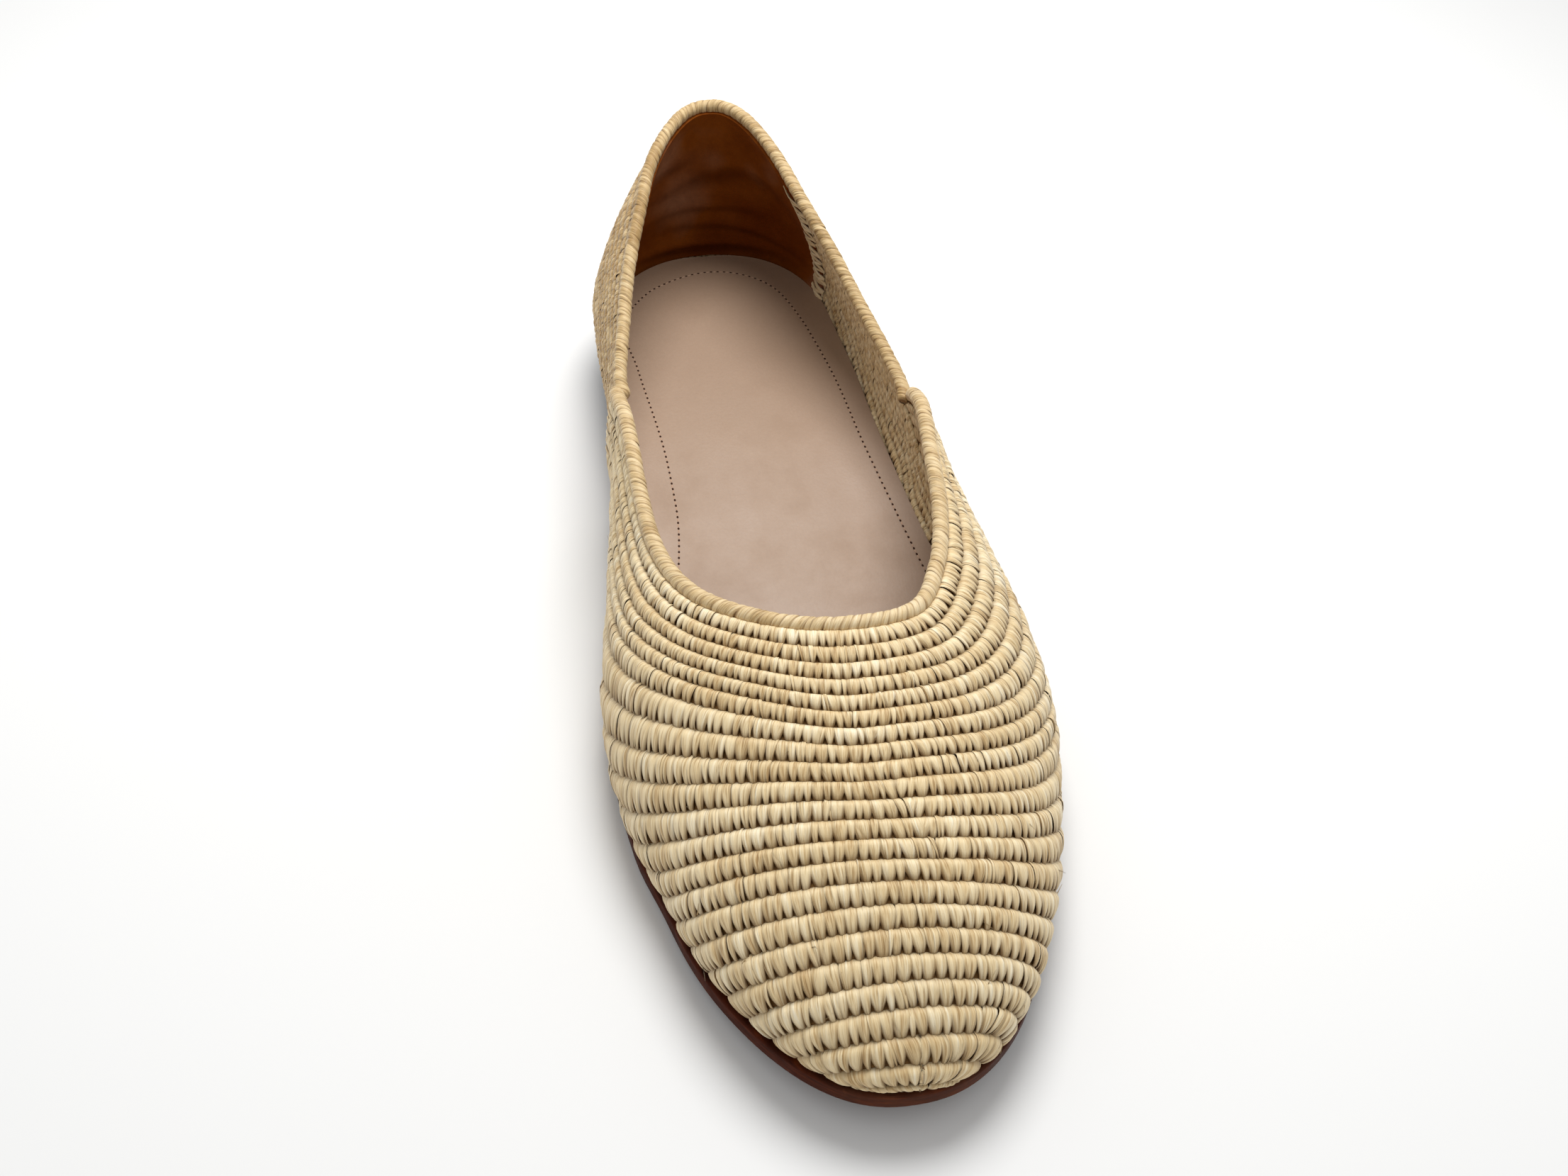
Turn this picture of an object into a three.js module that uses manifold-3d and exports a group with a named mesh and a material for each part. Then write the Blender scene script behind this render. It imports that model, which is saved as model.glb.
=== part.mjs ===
// Raffia moccasin for the left foot, in millimetres.
// X runs from heel to toe, Y to the outer side of the foot, Z up from the floor.
// The origin lies on the floor under the middle of the heel block.

import * as THREE from "three";
import { mergeVertices } from "three/addons/utils/BufferGeometryUtils.js";
import Module from "manifold-3d";

const wasm = await Module();
wasm.setup();

// Named sizes
const LENGTH = 262;
const BALL_WIDTH = 98;
const BACK_HEIGHT = 64;
const HEEL_LIFT = 9.2;
const HEEL_REST = 31;
const HEEL_LENGTH = 0.235;
const HEEL_INSET = 0.8;
const OUTSOLE = 4;
const INSOLE = 2.8;
const INSOLE_CUP = 1.4;
const WALL = 2.6;
const QUARTER_WALL = 2.2;
const QUARTER_STEP = 1.2;
const CORD = 4.4;
const CORD_DEPTH = 0.9;
const GAP = 0.3;
const INSOLE_GAP = 0.5;

// Roundings of the ends and the tuck above the sole
const HEEL_ROUND = 34.6;
const TOE_ROUND = 46.7;
const TOE_ROLL = 40;
const HEEL_POWER = 2.2;
const TOE_POWER = 2.27;
const TUCK = 3;
const TOE_TUCK = 2;
const TUCK_HEIGHT = 13;
const HEEL_REACH = 60;
const TOE_REACH = 50;
const HEEL_LEAN = 4;
const LEAN_START = 30;
const LEAN_RISE = 35;
const LEAN_POWER = 1.5;

// Coiled rows
const ROWS = 22.4;
const ROW_RELIEF = 0.8;
const QUARTER_ROW = 3.4;
const QUARTER_RELIEF = 0.5;
const ROW_STEPS = [0, 0.3, 0.7];
const QUARTER_FRONT = 0.46;
const QUARTER_EASE = 1.7;
const HEEL_EASE = 1.8;
const CORD_END_GAP = 3.2;

// Counts of faces
const VAMP_COLUMNS = 30;
const VAMP_INNER_ROWS = 20;
const QUARTER_COLUMNS = 36;
const QUARTER_INNER_ROWS = 7;
const QUARTER_CORD_STEPS = 44;
const CORD_SIDES = 8;
const OUTSOLE_STEPS = 56;
const INSOLE_STEPS = 40;
const INSOLE_WAYS = 4;
const HEEL_STEPS = 20;
const NORMAL_STEP = 0.001;
const SHARE_STEP = 0.02;
const WELD = 0.001;
const END_SHARE = 0.004;

// Half widths and sideways bend of the last, as shares of the ball width
const LAST = table(["station", "medial", "lateral", "centre"], [
  [0.00, 0.318, 0.330, 0.010],
  [0.12, 0.349, 0.342, -0.002],
  [0.25, 0.359, 0.373, -0.006],
  [0.38, 0.366, 0.411, -0.017],
  [0.50, 0.404, 0.461, -0.028],
  [0.56, 0.441, 0.491, -0.023],
  [0.62, 0.474, 0.510, -0.016],
  [0.68, 0.490, 0.505, -0.008],
  [0.74, 0.478, 0.476, -0.004],
  [0.80, 0.440, 0.431, -0.003],
  [0.90, 0.376, 0.349, -0.006],
  [1.00, 0.312, 0.310, -0.024],
]);

// Height of the top line of the last, as a share of the back height
const CROWN = table(["station", "height"], [
  [0.00, 1.273],
  [0.20, 1.158],
  [0.40, 1.053],
  [0.50, 0.909],
  [0.60, 0.805],
  [0.70, 0.753],
  [0.80, 0.655],
  [0.88, 0.548],
  [0.95, 0.464],
  [1.00, 0.392],
]);

// Rise of the seat over its level under the ball, as a share of the heel lift
const SEAT = table(["station", "rise"], [
  [0.00, 1.000],
  [0.15, 0.967],
  [0.30, 0.837],
  [0.45, 0.446],
  [0.60, 0.000],
  [0.75, 0.000],
  [0.88, 0.326],
  [1.00, 0.772],
]);

// Roundness of the sections, where 2 is an ellipse
const SECTION = table(["station", "medial", "lateral"], [
  [0.00, 1.28, 1.27],
  [0.12, 1.60, 1.46],
  [0.25, 2.05, 1.84],
  [0.36, 3.00, 2.45],
  [0.50, 2.65, 2.60],
  [0.65, 2.40, 2.40],
  [0.80, 2.02, 2.02],
  [1.00, 2.10, 2.10],
]);

// Top line of the quarter, as a share of the back height
const TOPLINE = table(["station", "height"], [
  [0.00, 1.030],
  [0.12, 0.965],
  [0.25, 0.752],
  [0.34, 0.662],
  [0.37, 0.640],
  [0.42, 0.500],
  [0.46, 0.480],
]);

// How far the quarter sits inside the line of the vamp, as a share of the step
const QUARTER_DEPTH = table(["station", "share"], [
  [0.00, 0.0],
  [0.18, 0.0],
  [0.32, 1.0],
  [0.46, 1.0],
]);

// Edge of the sole inside the widest line of the upper, as a share of the tuck
const SOLE_EDGE = table(["station", "inside"], [
  [0.00, 0.55],
  [0.30, 0.95],
  [0.60, 0.90],
  [0.78, 0.80],
  [0.88, 0.63],
  [1.00, 0.55],
]);

// Rows of the vamp. An end up to 1 lies on the side seam, counted across the last.
// An end from 1 to 2 lies on the feather line, from the side seam to the toe.
const NOTCH = { medial: 0.341, lateral: 0.371 };
const COURSE = table(["row", "crown", "across", "medialEnd", "lateralEnd", "late"], [
  [0.0, 0.684, 0.02, 0.800, 0.760, 0.00],
  [2.5, 0.720, 0.01, 0.920, 0.850, 0.35],
  [5.0, 0.753, 0.00, 1.050, 0.955, 0.70],
  [8.0, 0.793, 0.00, 1.350, 1.150, 1.00],
  [11.0, 0.836, 0.08, 1.570, 1.420, 1.00],
  [14.0, 0.880, 0.20, 1.710, 1.680, 1.00],
  [17.0, 0.929, 0.30, 1.830, 1.860, 1.00],
  [20.0, 0.991, 0.33, 1.930, 1.960, 1.00],
  [22.4, 1.080, 0.20, 1.985, 1.990, 1.00],
]);

// Shape of a row from its end to its crown, for the early and the late rows
const RUN = table(["way", "medialEarly", "lateralEarly", "medialLate", "lateralLate"], [
  [0.0, 1.00, 1.000, 1.00, 1.00],
  [0.2, 0.81, 0.710, 0.90, 0.97],
  [0.4, 0.66, 0.515, 0.71, 0.86],
  [0.6, 0.47, 0.360, 0.46, 0.66],
  [0.8, 0.23, 0.225, 0.20, 0.39],
  [1.0, 0.00, 0.000, 0.00, 0.00],
]);

// Smooth readers of the tables

function table(names, rows) {
  const at = rows.map((row) => row[0]);
  const columns = {};
  names.slice(1).forEach((name, index) => {
    columns[name] = smooth(at, rows.map((row) => row[index + 1]));
  });
  return columns;
}

function endSlope(h0, h1, d0, d1) {
  const slope = ((2 * h0 + h1) * d0 - h0 * d1) / (h0 + h1);
  if (slope * d0 <= 0) return 0;
  if (d0 * d1 <= 0 && Math.abs(slope) > 3 * Math.abs(d0)) return 3 * d0;
  return slope;
}

function slopesOf(at, values) {
  const last = at.length - 1;
  const h = at.slice(1).map((x, i) => x - at[i]);
  const d = h.map((step, i) => (values[i + 1] - values[i]) / step);
  const slopes = at.map(() => 0);
  for (let i = 1; i < last; i += 1) {
    if (d[i - 1] * d[i] > 0) {
      const a = 2 * h[i] + h[i - 1];
      const b = h[i] + 2 * h[i - 1];
      slopes[i] = (a + b) / (a / d[i - 1] + b / d[i]);
    }
  }
  slopes[0] = endSlope(h[0], h[1], d[0], d[1]);
  slopes[last] = endSlope(h[last - 1], h[last - 2], d[last - 1], d[last - 2]);
  return slopes;
}

function smooth(at, values) {
  const slopes = slopesOf(at, values);
  return (where) => {
    const x = clamp(where, at[0], at[at.length - 1]);
    let i = 0;
    while (i < at.length - 2 && x >= at[i + 1]) i += 1;
    const h = at[i + 1] - at[i];
    const t = (x - at[i]) / h;
    const start = values[i] * (1 + 2 * t) + slopes[i] * h * t;
    const end = values[i + 1] * (3 - 2 * t) + slopes[i + 1] * h * (t - 1);
    return start * (1 - t) ** 2 + end * t * t;
  };
}

function clamp(value, low, high) {
  return Math.min(Math.max(value, low), high);
}

function mix(a, b, share) {
  return a + (b - a) * share;
}

function spread(from, to, count) {
  return Array.from({ length: count + 1 }, (_, i) => mix(from, to, i / count));
}

// The last: station runs 0 to 1 from heel to toe.
// Across runs from -1 at the medial feather line over 0 on top to 1 at the lateral one.

function closing(station) {
  const x = station * LENGTH;
  const heel = clamp(1 - x / HEEL_ROUND, 0, 1);
  const toe = clamp(1 - (LENGTH - x) / TOE_ROUND, 0, 1);
  const atHeel = (1 - heel ** HEEL_POWER) ** (1 / HEEL_POWER);
  return atHeel * (1 - toe ** TOE_POWER) ** (1 / TOE_POWER);
}

function sideOf(across) {
  return across < 0 ? "medial" : "lateral";
}

function halfWidth(station, side) {
  return BALL_WIDTH * LAST[side](station) * closing(station);
}

function centre(station) {
  return BALL_WIDTH * LAST.centre(station);
}

function seat(station) {
  return OUTSOLE + GAP + HEEL_LIFT * SEAT.rise(station);
}

function crown(station) {
  const roll = clamp(1 - (1 - station) * LENGTH / TOE_ROLL, 0, 1);
  const base = seat(station);
  return base + (BACK_HEIGHT * CROWN.height(station) - base) * Math.sqrt(1 - roll * roll);
}

// Share of the tuck at a rise above the seat
function tuckShare(rise) {
  return clamp(1 - rise / TUCK_HEIGHT, 0, 1) ** 2;
}

function last(station, across) {
  const side = sideOf(across);
  const power = 2 / SECTION[side](station);
  const angle = (1 - Math.abs(across)) * Math.PI / 2;
  const base = seat(station);
  const rise = (crown(station) - base) * Math.sin(angle) ** power;
  const out = across === 0 ? 0 : Math.max(Math.cos(angle), 0) ** power;
  const share = tuckShare(rise);
  const y = halfWidth(station, side) * out - TUCK * share * closing(station);
  const x = station * LENGTH;
  const lean = HEEL_LEAN * clamp((base + rise - LEAN_START) / LEAN_RISE, 0, 2) ** LEAN_POWER;
  const fromHeel = (lean + TUCK * share) * clamp(1 - x / HEEL_REACH, 0, 1) ** 2;
  const fromToe = TOE_TUCK * share * clamp(1 - (LENGTH - x) / TOE_REACH, 0, 1) ** 2;
  return new THREE.Vector3(
    x + fromHeel - fromToe - HEEL_REST,
    centre(station) + (across < 0 ? -y : y),
    base + rise,
  );
}

function acrossAt(station, side, height) {
  const base = seat(station);
  const share = clamp((height - base) / (crown(station) - base), 0, 1);
  const angle = Math.asin(share ** (SECTION[side](station) / 2));
  return (side === "medial" ? -1 : 1) * (1 - angle / (Math.PI / 2));
}

// Direction square to the skin. Where the two sides meet at the heel and the toe,
// it turns to point straight along the shoe.
function outward(station, across) {
  const s = clamp(station, END_SHARE, 1 - END_SHARE);
  const a = clamp(across, -1 + END_SHARE, 1 - END_SHARE);
  const along = last(s + NORMAL_STEP, a).sub(last(s - NORMAL_STEP, a));
  const over = last(s, a + NORMAL_STEP).sub(last(s, a - NORMAL_STEP));
  const normal = along.cross(over).normalize();
  normal.y *= clamp(Math.min(station, 1 - station) / END_SHARE, 0, 1);
  return normal.normalize();
}

function skin(station, across, depth) {
  return last(station, across).addScaledVector(outward(station, across), -depth);
}

// Rows of the vamp, counted from the collar to the toe

const ROLL_START = 1 - TOE_ROLL / LENGTH;

function rolled(way) {
  if (way < ROLL_START) return way;
  const turn = clamp((way - ROLL_START) / (1 - ROLL_START), 0, Math.PI / 2);
  return ROLL_START + (1 - ROLL_START) * Math.sin(turn);
}

function unrolled(station) {
  if (station < ROLL_START) return station;
  return ROLL_START + (1 - ROLL_START) * Math.asin((station - ROLL_START) / (1 - ROLL_START));
}

function vampPlace(row, share) {
  const side = sideOf(share);
  const sign = share < 0 ? -1 : 1;
  const way = 1 - Math.abs(share);
  const end = COURSE[side + "End"](row);
  const notch = NOTCH[side];
  const from = unrolled(notch + clamp(end - 1, 0, 1) * (1 - notch));
  const run = mix(RUN[side + "Early"](way), RUN[side + "Late"](way), COURSE.late(row));
  const top = COURSE.across(row);
  return {
    station: rolled(mix(from, COURSE.crown(row), Math.sin(way * Math.PI / 2))),
    across: top + (sign * Math.min(end, 1) - top) * run,
  };
}

function vampPoint(row, share, depth) {
  const place = vampPlace(row, share);
  return skin(place.station, place.across, depth);
}

// Depth at a row: the first step of each row lies in its groove
function groove(row, relief) {
  const part = row - Math.floor(row + 1e-6);
  return part < ROW_STEPS[1] / 2 ? relief : 0;
}

// Bodies from grids of points

function pushQuad(faces, a, b, c, d) {
  faces.push([a, b, c], [a, c, d]);
}

function gridFaces(grid, faces) {
  for (let i = 0; i + 1 < grid.length; i += 1) {
    for (let j = 0; j + 1 < grid[i].length; j += 1) {
      pushQuad(faces, grid[i][j], grid[i + 1][j], grid[i + 1][j + 1], grid[i][j + 1]);
    }
  }
}

// Closes the strip between two lines of points that may differ in count
function stitch(first, second, faces) {
  let i = 0;
  let j = 0;
  while (i + 1 < first.length || j + 1 < second.length) {
    const nextFirst = (i + 1) / (first.length - 1);
    const nextSecond = (j + 1) / (second.length - 1);
    if (j + 1 >= second.length || (i + 1 < first.length && nextFirst <= nextSecond)) {
      faces.push([first[i], second[j], first[i + 1]]);
      i += 1;
    } else {
      faces.push([first[i], second[j], second[j + 1]]);
      j += 1;
    }
  }
}

function column(grid, index) {
  return grid.map((row) => row[index < 0 ? row.length + index : index]);
}

// A wall between an outer and an inner grid, which share their columns
function wall(outer, inner) {
  const faces = [];
  const end = outer[0].length - 1;
  gridFaces(outer, faces);
  gridFaces(inner.map((row) => [...row].reverse()), faces);
  stitch(column(outer, 0), column(inner, 0), faces);
  stitch(column(inner, end), column(outer, end), faces);
  stitch(inner[0], outer[0], faces);
  stitch(outer[outer.length - 1], inner[inner.length - 1], faces);
  return closedGeometry(faces);
}

function closedGeometry(faces) {
  const raw = new THREE.BufferGeometry();
  const numbers = faces.flatMap((face) => face.flatMap((p) => [p.x, p.y, p.z]));
  raw.setAttribute("position", new THREE.Float32BufferAttribute(numbers, 3));
  const merged = mergeVertices(raw, WELD);
  const index = Array.from(merged.index.array);
  const kept = [];
  for (let i = 0; i < index.length; i += 3) {
    const [a, b, c] = index.slice(i, i + 3);
    if (a !== b && b !== c && c !== a) kept.push(a, b, c);
  }
  merged.setIndex(kept);
  if (volumeOf(merged) < 0) {
    for (let i = 0; i < kept.length; i += 3) {
      [kept[i], kept[i + 1]] = [kept[i + 1], kept[i]];
    }
    merged.setIndex(kept);
  }
  return merged;
}

function volumeOf(geometry) {
  const p = geometry.getAttribute("position");
  const index = geometry.index.array;
  const corner = (i) => new THREE.Vector3().fromBufferAttribute(p, index[i]);
  let volume = 0;
  for (let i = 0; i < index.length; i += 3) {
    volume += corner(i).dot(corner(i + 1).cross(corner(i + 2))) / 6;
  }
  return volume;
}

function toSolid(geometry) {
  const vertProperties = new Float32Array(geometry.getAttribute("position").array);
  const triVerts = new Uint32Array(geometry.index.array);
  return new wasm.Manifold(new wasm.Mesh({ numProp: 3, vertProperties, triVerts }));
}

function fromSolid(solid) {
  const mesh = solid.getMesh();
  const geometry = new THREE.BufferGeometry();
  geometry.setAttribute("position", new THREE.BufferAttribute(new Float32Array(mesh.vertProperties), 3));
  geometry.setIndex(Array.from(mesh.triVerts));
  return geometry;
}

// A cord of round section along a line of points
function cord(path, radius, sides) {
  const rings = path.map((point, i) => {
    const ahead = path[Math.min(i + 1, path.length - 1)];
    const behind = path[Math.max(i - 1, 0)];
    const along = ahead.clone().sub(behind).normalize();
    const across = new THREE.Vector3(0, 0, 1).cross(along).normalize();
    const up = along.clone().cross(across);
    return spread(0, 2 * Math.PI, sides).map((angle) => point.clone()
      .addScaledVector(across, radius * Math.cos(angle % (2 * Math.PI)))
      .addScaledVector(up, radius * Math.sin(angle % (2 * Math.PI))));
  });
  rings.forEach((ring) => { ring[sides] = ring[0].clone(); });
  const faces = [];
  gridFaces(rings, faces);
  [[rings[0], path[0]], [rings[rings.length - 1].slice().reverse(), path[path.length - 1]]]
    .forEach(([ring, middle]) => {
      for (let i = 0; i < sides; i += 1) faces.push([ring[i], ring[i + 1], middle]);
    });
  return closedGeometry(faces);
}

// The upper

function steppedRows(count) {
  const rows = [];
  for (let row = 0; row < Math.floor(count); row += 1) {
    ROW_STEPS.forEach((step) => rows.push(row + step));
  }
  rows.push(Math.floor(count));
  if (count > Math.floor(count)) rows.push(count);
  return rows;
}

function vampWall() {
  const shares = spread(-1, 1, VAMP_COLUMNS);
  const outer = steppedRows(ROWS).map((row) => {
    const depth = row >= ROWS ? 0 : groove(row, ROW_RELIEF);
    return shares.map((share) => vampPoint(row, share, depth));
  });
  const inner = spread(0, ROWS, VAMP_INNER_ROWS).map((row) => {
    return shares.map((share) => vampPoint(row, share, WALL));
  });
  return wall(outer, inner);
}

function quarterTop(station) {
  return BACK_HEIGHT * TOPLINE.height(station) - CORD - GAP;
}

function quarterPoint(place, height, depth) {
  const base = seat(place.station);
  const across = acrossAt(place.station, place.side, Math.max(height, base));
  const inset = QUARTER_STEP * QUARTER_DEPTH.share(place.station);
  return skin(place.station, across, depth + inset);
}

// Places round the back, from the medial end over the heel to the lateral end
function quarterPlaces() {
  return spread(-1, 1, QUARTER_COLUMNS).map((way) => ({
    side: sideOf(way),
    station: QUARTER_FRONT * (Math.abs(way) ** QUARTER_EASE),
  }));
}

function quarterWall() {
  const places = quarterPlaces();
  const deepest = quarterTop(0) - seat(0);
  const heights = (row) => places.map((place) => {
    return Math.max(quarterTop(place.station) - row * QUARTER_ROW, seat(place.station));
  });
  const outer = steppedRows(Math.ceil(deepest / QUARTER_ROW)).map((row) => {
    return heights(row).map((height, i) => {
      const free = height > seat(places[i].station) + QUARTER_RELIEF;
      return quarterPoint(places[i], height, free ? groove(row, QUARTER_RELIEF) : 0);
    });
  });
  const inner = spread(0, 1, QUARTER_INNER_ROWS).map((share) => places.map((place) => {
    const height = mix(quarterTop(place.station), seat(place.station), share);
    return quarterPoint(place, height, QUARTER_WALL);
  }));
  return wall(outer, inner);
}

function upper() {
  return fromSolid(toSolid(vampWall()).add(toSolid(quarterWall())));
}

// The wrapped cords along the collar

function vampCordPath() {
  const radius = CORD / 2;
  return spread(-1, 1, VAMP_COLUMNS).map((share) => {
    const edge = vampPoint(0, share, CORD_DEPTH);
    const back = vampPoint(0, Math.max(share - SHARE_STEP, -1), CORD_DEPTH);
    const ahead = vampPoint(0, Math.min(share + SHARE_STEP, 1), CORD_DEPTH);
    const place = vampPlace(0, share);
    const along = ahead.sub(back).normalize();
    const toOpening = along.cross(outward(place.station, place.across)).normalize();
    const fromNextRow = edge.clone().sub(vampPoint(1, share, CORD_DEPTH));
    if (toOpening.dot(fromNextRow) < 0) toOpening.negate();
    return edge.addScaledVector(toOpening, radius + GAP);
  });
}

function quarterCordPath() {
  const radius = CORD / 2;
  const clear = CORD_END_GAP / LENGTH;
  return spread(-1, 1, QUARTER_CORD_STEPS).map((way) => {
    const side = sideOf(way);
    const station = (NOTCH[side] - clear) * (Math.abs(way) ** QUARTER_EASE);
    const place = { side, station };
    return quarterPoint(place, quarterTop(station) + GAP + radius, CORD_DEPTH);
  });
}

// The soles

// Lines across the sole from its heel end to a station, drawn in from its edge by an inset
function soleOutline(inset, to, count) {
  const insideAt = (station) => TUCK * SOLE_EDGE.inside(station) + inset;
  const edge = (station, side) => {
    const y = halfWidth(station, side) - insideAt(station) * closing(station);
    return centre(station) + (side === "medial" ? -y : y);
  };
  const stretch = (station) => mix(insideAt(0), LENGTH - insideAt(1), station) - HEEL_REST;
  return spread(0, 1, count).map((share) => {
    const eased = to < 1 ? share ** HEEL_EASE : (1 - Math.cos(share * Math.PI)) / 2;
    const station = to * eased;
    return {
      x: stretch(station),
      level: seat(station) - GAP,
      medial: edge(station, "medial"),
      lateral: edge(station, "lateral"),
    };
  });
}

function slab(lines) {
  const top = lines.map((line) => line.top);
  const bottom = lines.map((line) => line.bottom);
  const far = top.length - 1;
  const faces = [];
  gridFaces(top, faces);
  gridFaces(bottom.map((row) => [...row].reverse()), faces);
  gridFaces([column(top, 0), column(bottom, 0)], faces);
  gridFaces([column(bottom, -1), column(top, -1)], faces);
  gridFaces([bottom[0], top[0]], faces);
  gridFaces([top[far], bottom[far]], faces);
  return closedGeometry(faces);
}

function outsole() {
  return slab(soleOutline(0, 1, OUTSOLE_STEPS).map((edge) => {
    const at = (y, z) => new THREE.Vector3(edge.x, y, z);
    const under = edge.level - OUTSOLE;
    return {
      top: [at(edge.medial, edge.level), at(edge.lateral, edge.level)],
      bottom: [at(edge.medial, under), at(edge.lateral, under)],
    };
  }));
}

// A line round the inside of the upper, at a rise above the seat and a depth from its face
function innerEdge(station, side, rise, depth) {
  const inward = TUCK * tuckShare(rise) + depth;
  const heelEnd = TUCK + depth - HEEL_REST;
  const toeEnd = LENGTH - TUCK - depth - HEEL_REST;
  const x = mix(heelEnd, toeEnd, station);
  const y = halfWidth(station, side) - inward * closing(station);
  const level = seat((x + HEEL_REST) / LENGTH) + rise;
  return new THREE.Vector3(x, centre(station) + (side === "medial" ? -y : y), level);
}

function insole() {
  const line = (station, lift, cup) => {
    const depth = QUARTER_WALL + QUARTER_STEP * QUARTER_DEPTH.share(station) + INSOLE_GAP;
    const medial = innerEdge(station, "medial", lift + cup, depth);
    const lateral = innerEdge(station, "lateral", lift + cup, depth);
    return spread(-1, 1, INSOLE_WAYS).map((way) => {
      const point = medial.clone().lerp(lateral, (way + 1) / 2);
      point.z -= cup * closing(station) * (1 - way * way);
      return point;
    });
  };
  const stations = spread(0, 1, INSOLE_STEPS).map((share) => (1 - Math.cos(share * Math.PI)) / 2);
  return slab(stations.map((station) => ({
    top: line(station, INSOLE, INSOLE_CUP),
    bottom: line(station, 0, 0),
  })));
}

function heel() {
  return slab(soleOutline(HEEL_INSET, HEEL_LENGTH, HEEL_STEPS).map((edge) => {
    const level = edge.level - OUTSOLE - GAP;
    const at = (y, z) => new THREE.Vector3(edge.x, y, z);
    return {
      top: [at(edge.medial, level), at(edge.lateral, level)],
      bottom: [at(edge.medial, 0), at(edge.lateral, 0)],
    };
  }));
}

// Materials and assembly

const RAFFIA = { color: 0xcdb083, roughness: 0.75, metalness: 0 };
const PALE_RAFFIA = { color: 0xd8be92, roughness: 0.7, metalness: 0 };
const LINING = { color: 0xb99a87, roughness: 0.6, metalness: 0 };
const SOLE_LEATHER = { color: 0x5a2618, roughness: 0.5, metalness: 0 };
const HEEL_RUBBER = { color: 0x2c2e33, roughness: 0.8, metalness: 0 };

function piece(name, geometry, look) {
  const mesh = new THREE.Mesh(geometry, new THREE.MeshStandardMaterial(look));
  mesh.name = name;
  return mesh;
}

const shoe = new THREE.Group();
shoe.name = "raffia_moccasin";
shoe.add(piece("upper", upper(), RAFFIA));
shoe.add(piece("vamp_binding", cord(vampCordPath(), CORD / 2, CORD_SIDES), PALE_RAFFIA));
shoe.add(piece("quarter_binding", cord(quarterCordPath(), CORD / 2, CORD_SIDES), PALE_RAFFIA));
shoe.add(piece("insole", insole(), LINING));
shoe.add(piece("outsole", outsole(), SOLE_LEATHER));
shoe.add(piece("heel", heel(), HEEL_RUBBER));

export default shoe;
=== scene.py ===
"""Raffia moccasin for the left foot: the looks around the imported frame.

Shapes are worked out in millimetres from the same named sizes as the part's source,
and become metres when a mesh is made.
X runs from heel to toe, Y to the outer side of the foot, Z up from the floor.
"""
from dataclasses import dataclass
import bpy
import numpy as np
from mathutils import Matrix, Vector


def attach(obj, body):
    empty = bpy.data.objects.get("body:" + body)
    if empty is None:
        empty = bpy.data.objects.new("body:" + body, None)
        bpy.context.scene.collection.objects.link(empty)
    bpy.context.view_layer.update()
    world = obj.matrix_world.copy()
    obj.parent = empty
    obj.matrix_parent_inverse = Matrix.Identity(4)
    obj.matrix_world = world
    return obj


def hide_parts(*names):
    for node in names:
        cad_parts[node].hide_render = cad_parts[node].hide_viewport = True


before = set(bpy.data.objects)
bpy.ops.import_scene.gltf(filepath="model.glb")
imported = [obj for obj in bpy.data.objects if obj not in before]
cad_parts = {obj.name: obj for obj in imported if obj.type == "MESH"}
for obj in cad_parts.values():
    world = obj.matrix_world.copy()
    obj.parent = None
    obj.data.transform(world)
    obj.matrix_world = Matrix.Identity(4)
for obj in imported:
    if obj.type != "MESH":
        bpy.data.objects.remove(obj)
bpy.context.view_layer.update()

MM = 0.001

# Sizes of the frame, as in the part's source
LENGTH = 262.0
BALL_WIDTH = 98.0
BACK_HEIGHT = 64.0
HEEL_LIFT = 9.2
HEEL_REST = 31.0
HEEL_LENGTH = 0.235
HEEL_INSET = 0.8
OUTSOLE = 4.0
INSOLE = 2.8
INSOLE_CUP = 1.4
WALL = 2.6
QUARTER_WALL = 2.2
QUARTER_STEP = 1.2
CORD = 4.4
CORD_DEPTH = 0.9
GAP = 0.3
INSOLE_GAP = 0.5
HEEL_ROUND = 34.6
TOE_ROUND = 46.7
TOE_ROLL = 40.0
HEEL_POWER = 2.2
TOE_POWER = 2.27
TUCK = 3.0
TOE_TUCK = 2.0
TUCK_HEIGHT = 13.0
HEEL_REACH = 60.0
TOE_REACH = 50.0
HEEL_LEAN = 4.0
LEAN_START = 30.0
LEAN_RISE = 35.0
LEAN_POWER = 1.5
ROWS = 22.4
QUARTER_ROW = 3.4
QUARTER_FRONT = 0.46
QUARTER_EASE = 1.7
HEEL_EASE = 1.8
NOTCH = {"medial": 0.341, "lateral": 0.371}
NORMAL_STEP = 0.001
END_SHARE = 0.004

# Strands of raffia: their widths, the depths of the ground under them, their height over it
VAMP_STRAND = 2.2
QUARTER_STRAND = 1.9
BINDING_STRAND = 1.9
VAMP_GROUND = 0.95
QUARTER_GROUND = 0.6
QUARTER_BACK = QUARTER_WALL - 0.4
VAMP_CREST = 1.3
QUARTER_CREST = 0.7

# Row width from which strands have their full width, and the least share of it in narrower rows
WIDE_ROW = 3.4
NARROWEST = 0.62

# Along a strand: its start in rows, and the shares where its rise ends and its fall begins
ROW_START = -0.03
RISE_END = 0.34
FALL_START = 0.42

# Across a strand: how much wider it is than its place, and its lengthwise folds
OVERLAP = 1.06
FOLD_DEPTHS = (0.22, 0.14)
FOLD_WIDTH = 0.17

# The wrapped cords: their thickness and how deep they are seated. The quarter's cord passes
# the notches by a share of the length, and is drawn in there by so many millimetres.
VAMP_CORD = 3.6
QUARTER_CORD = 3.3
CORD_SINK = 0.45
CORD_PAST = 0.004
CORD_DRAWN_IN = 0.9

ABOVE = np.array([0.0, 0.0, 1.0])


# Small helpers

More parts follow.
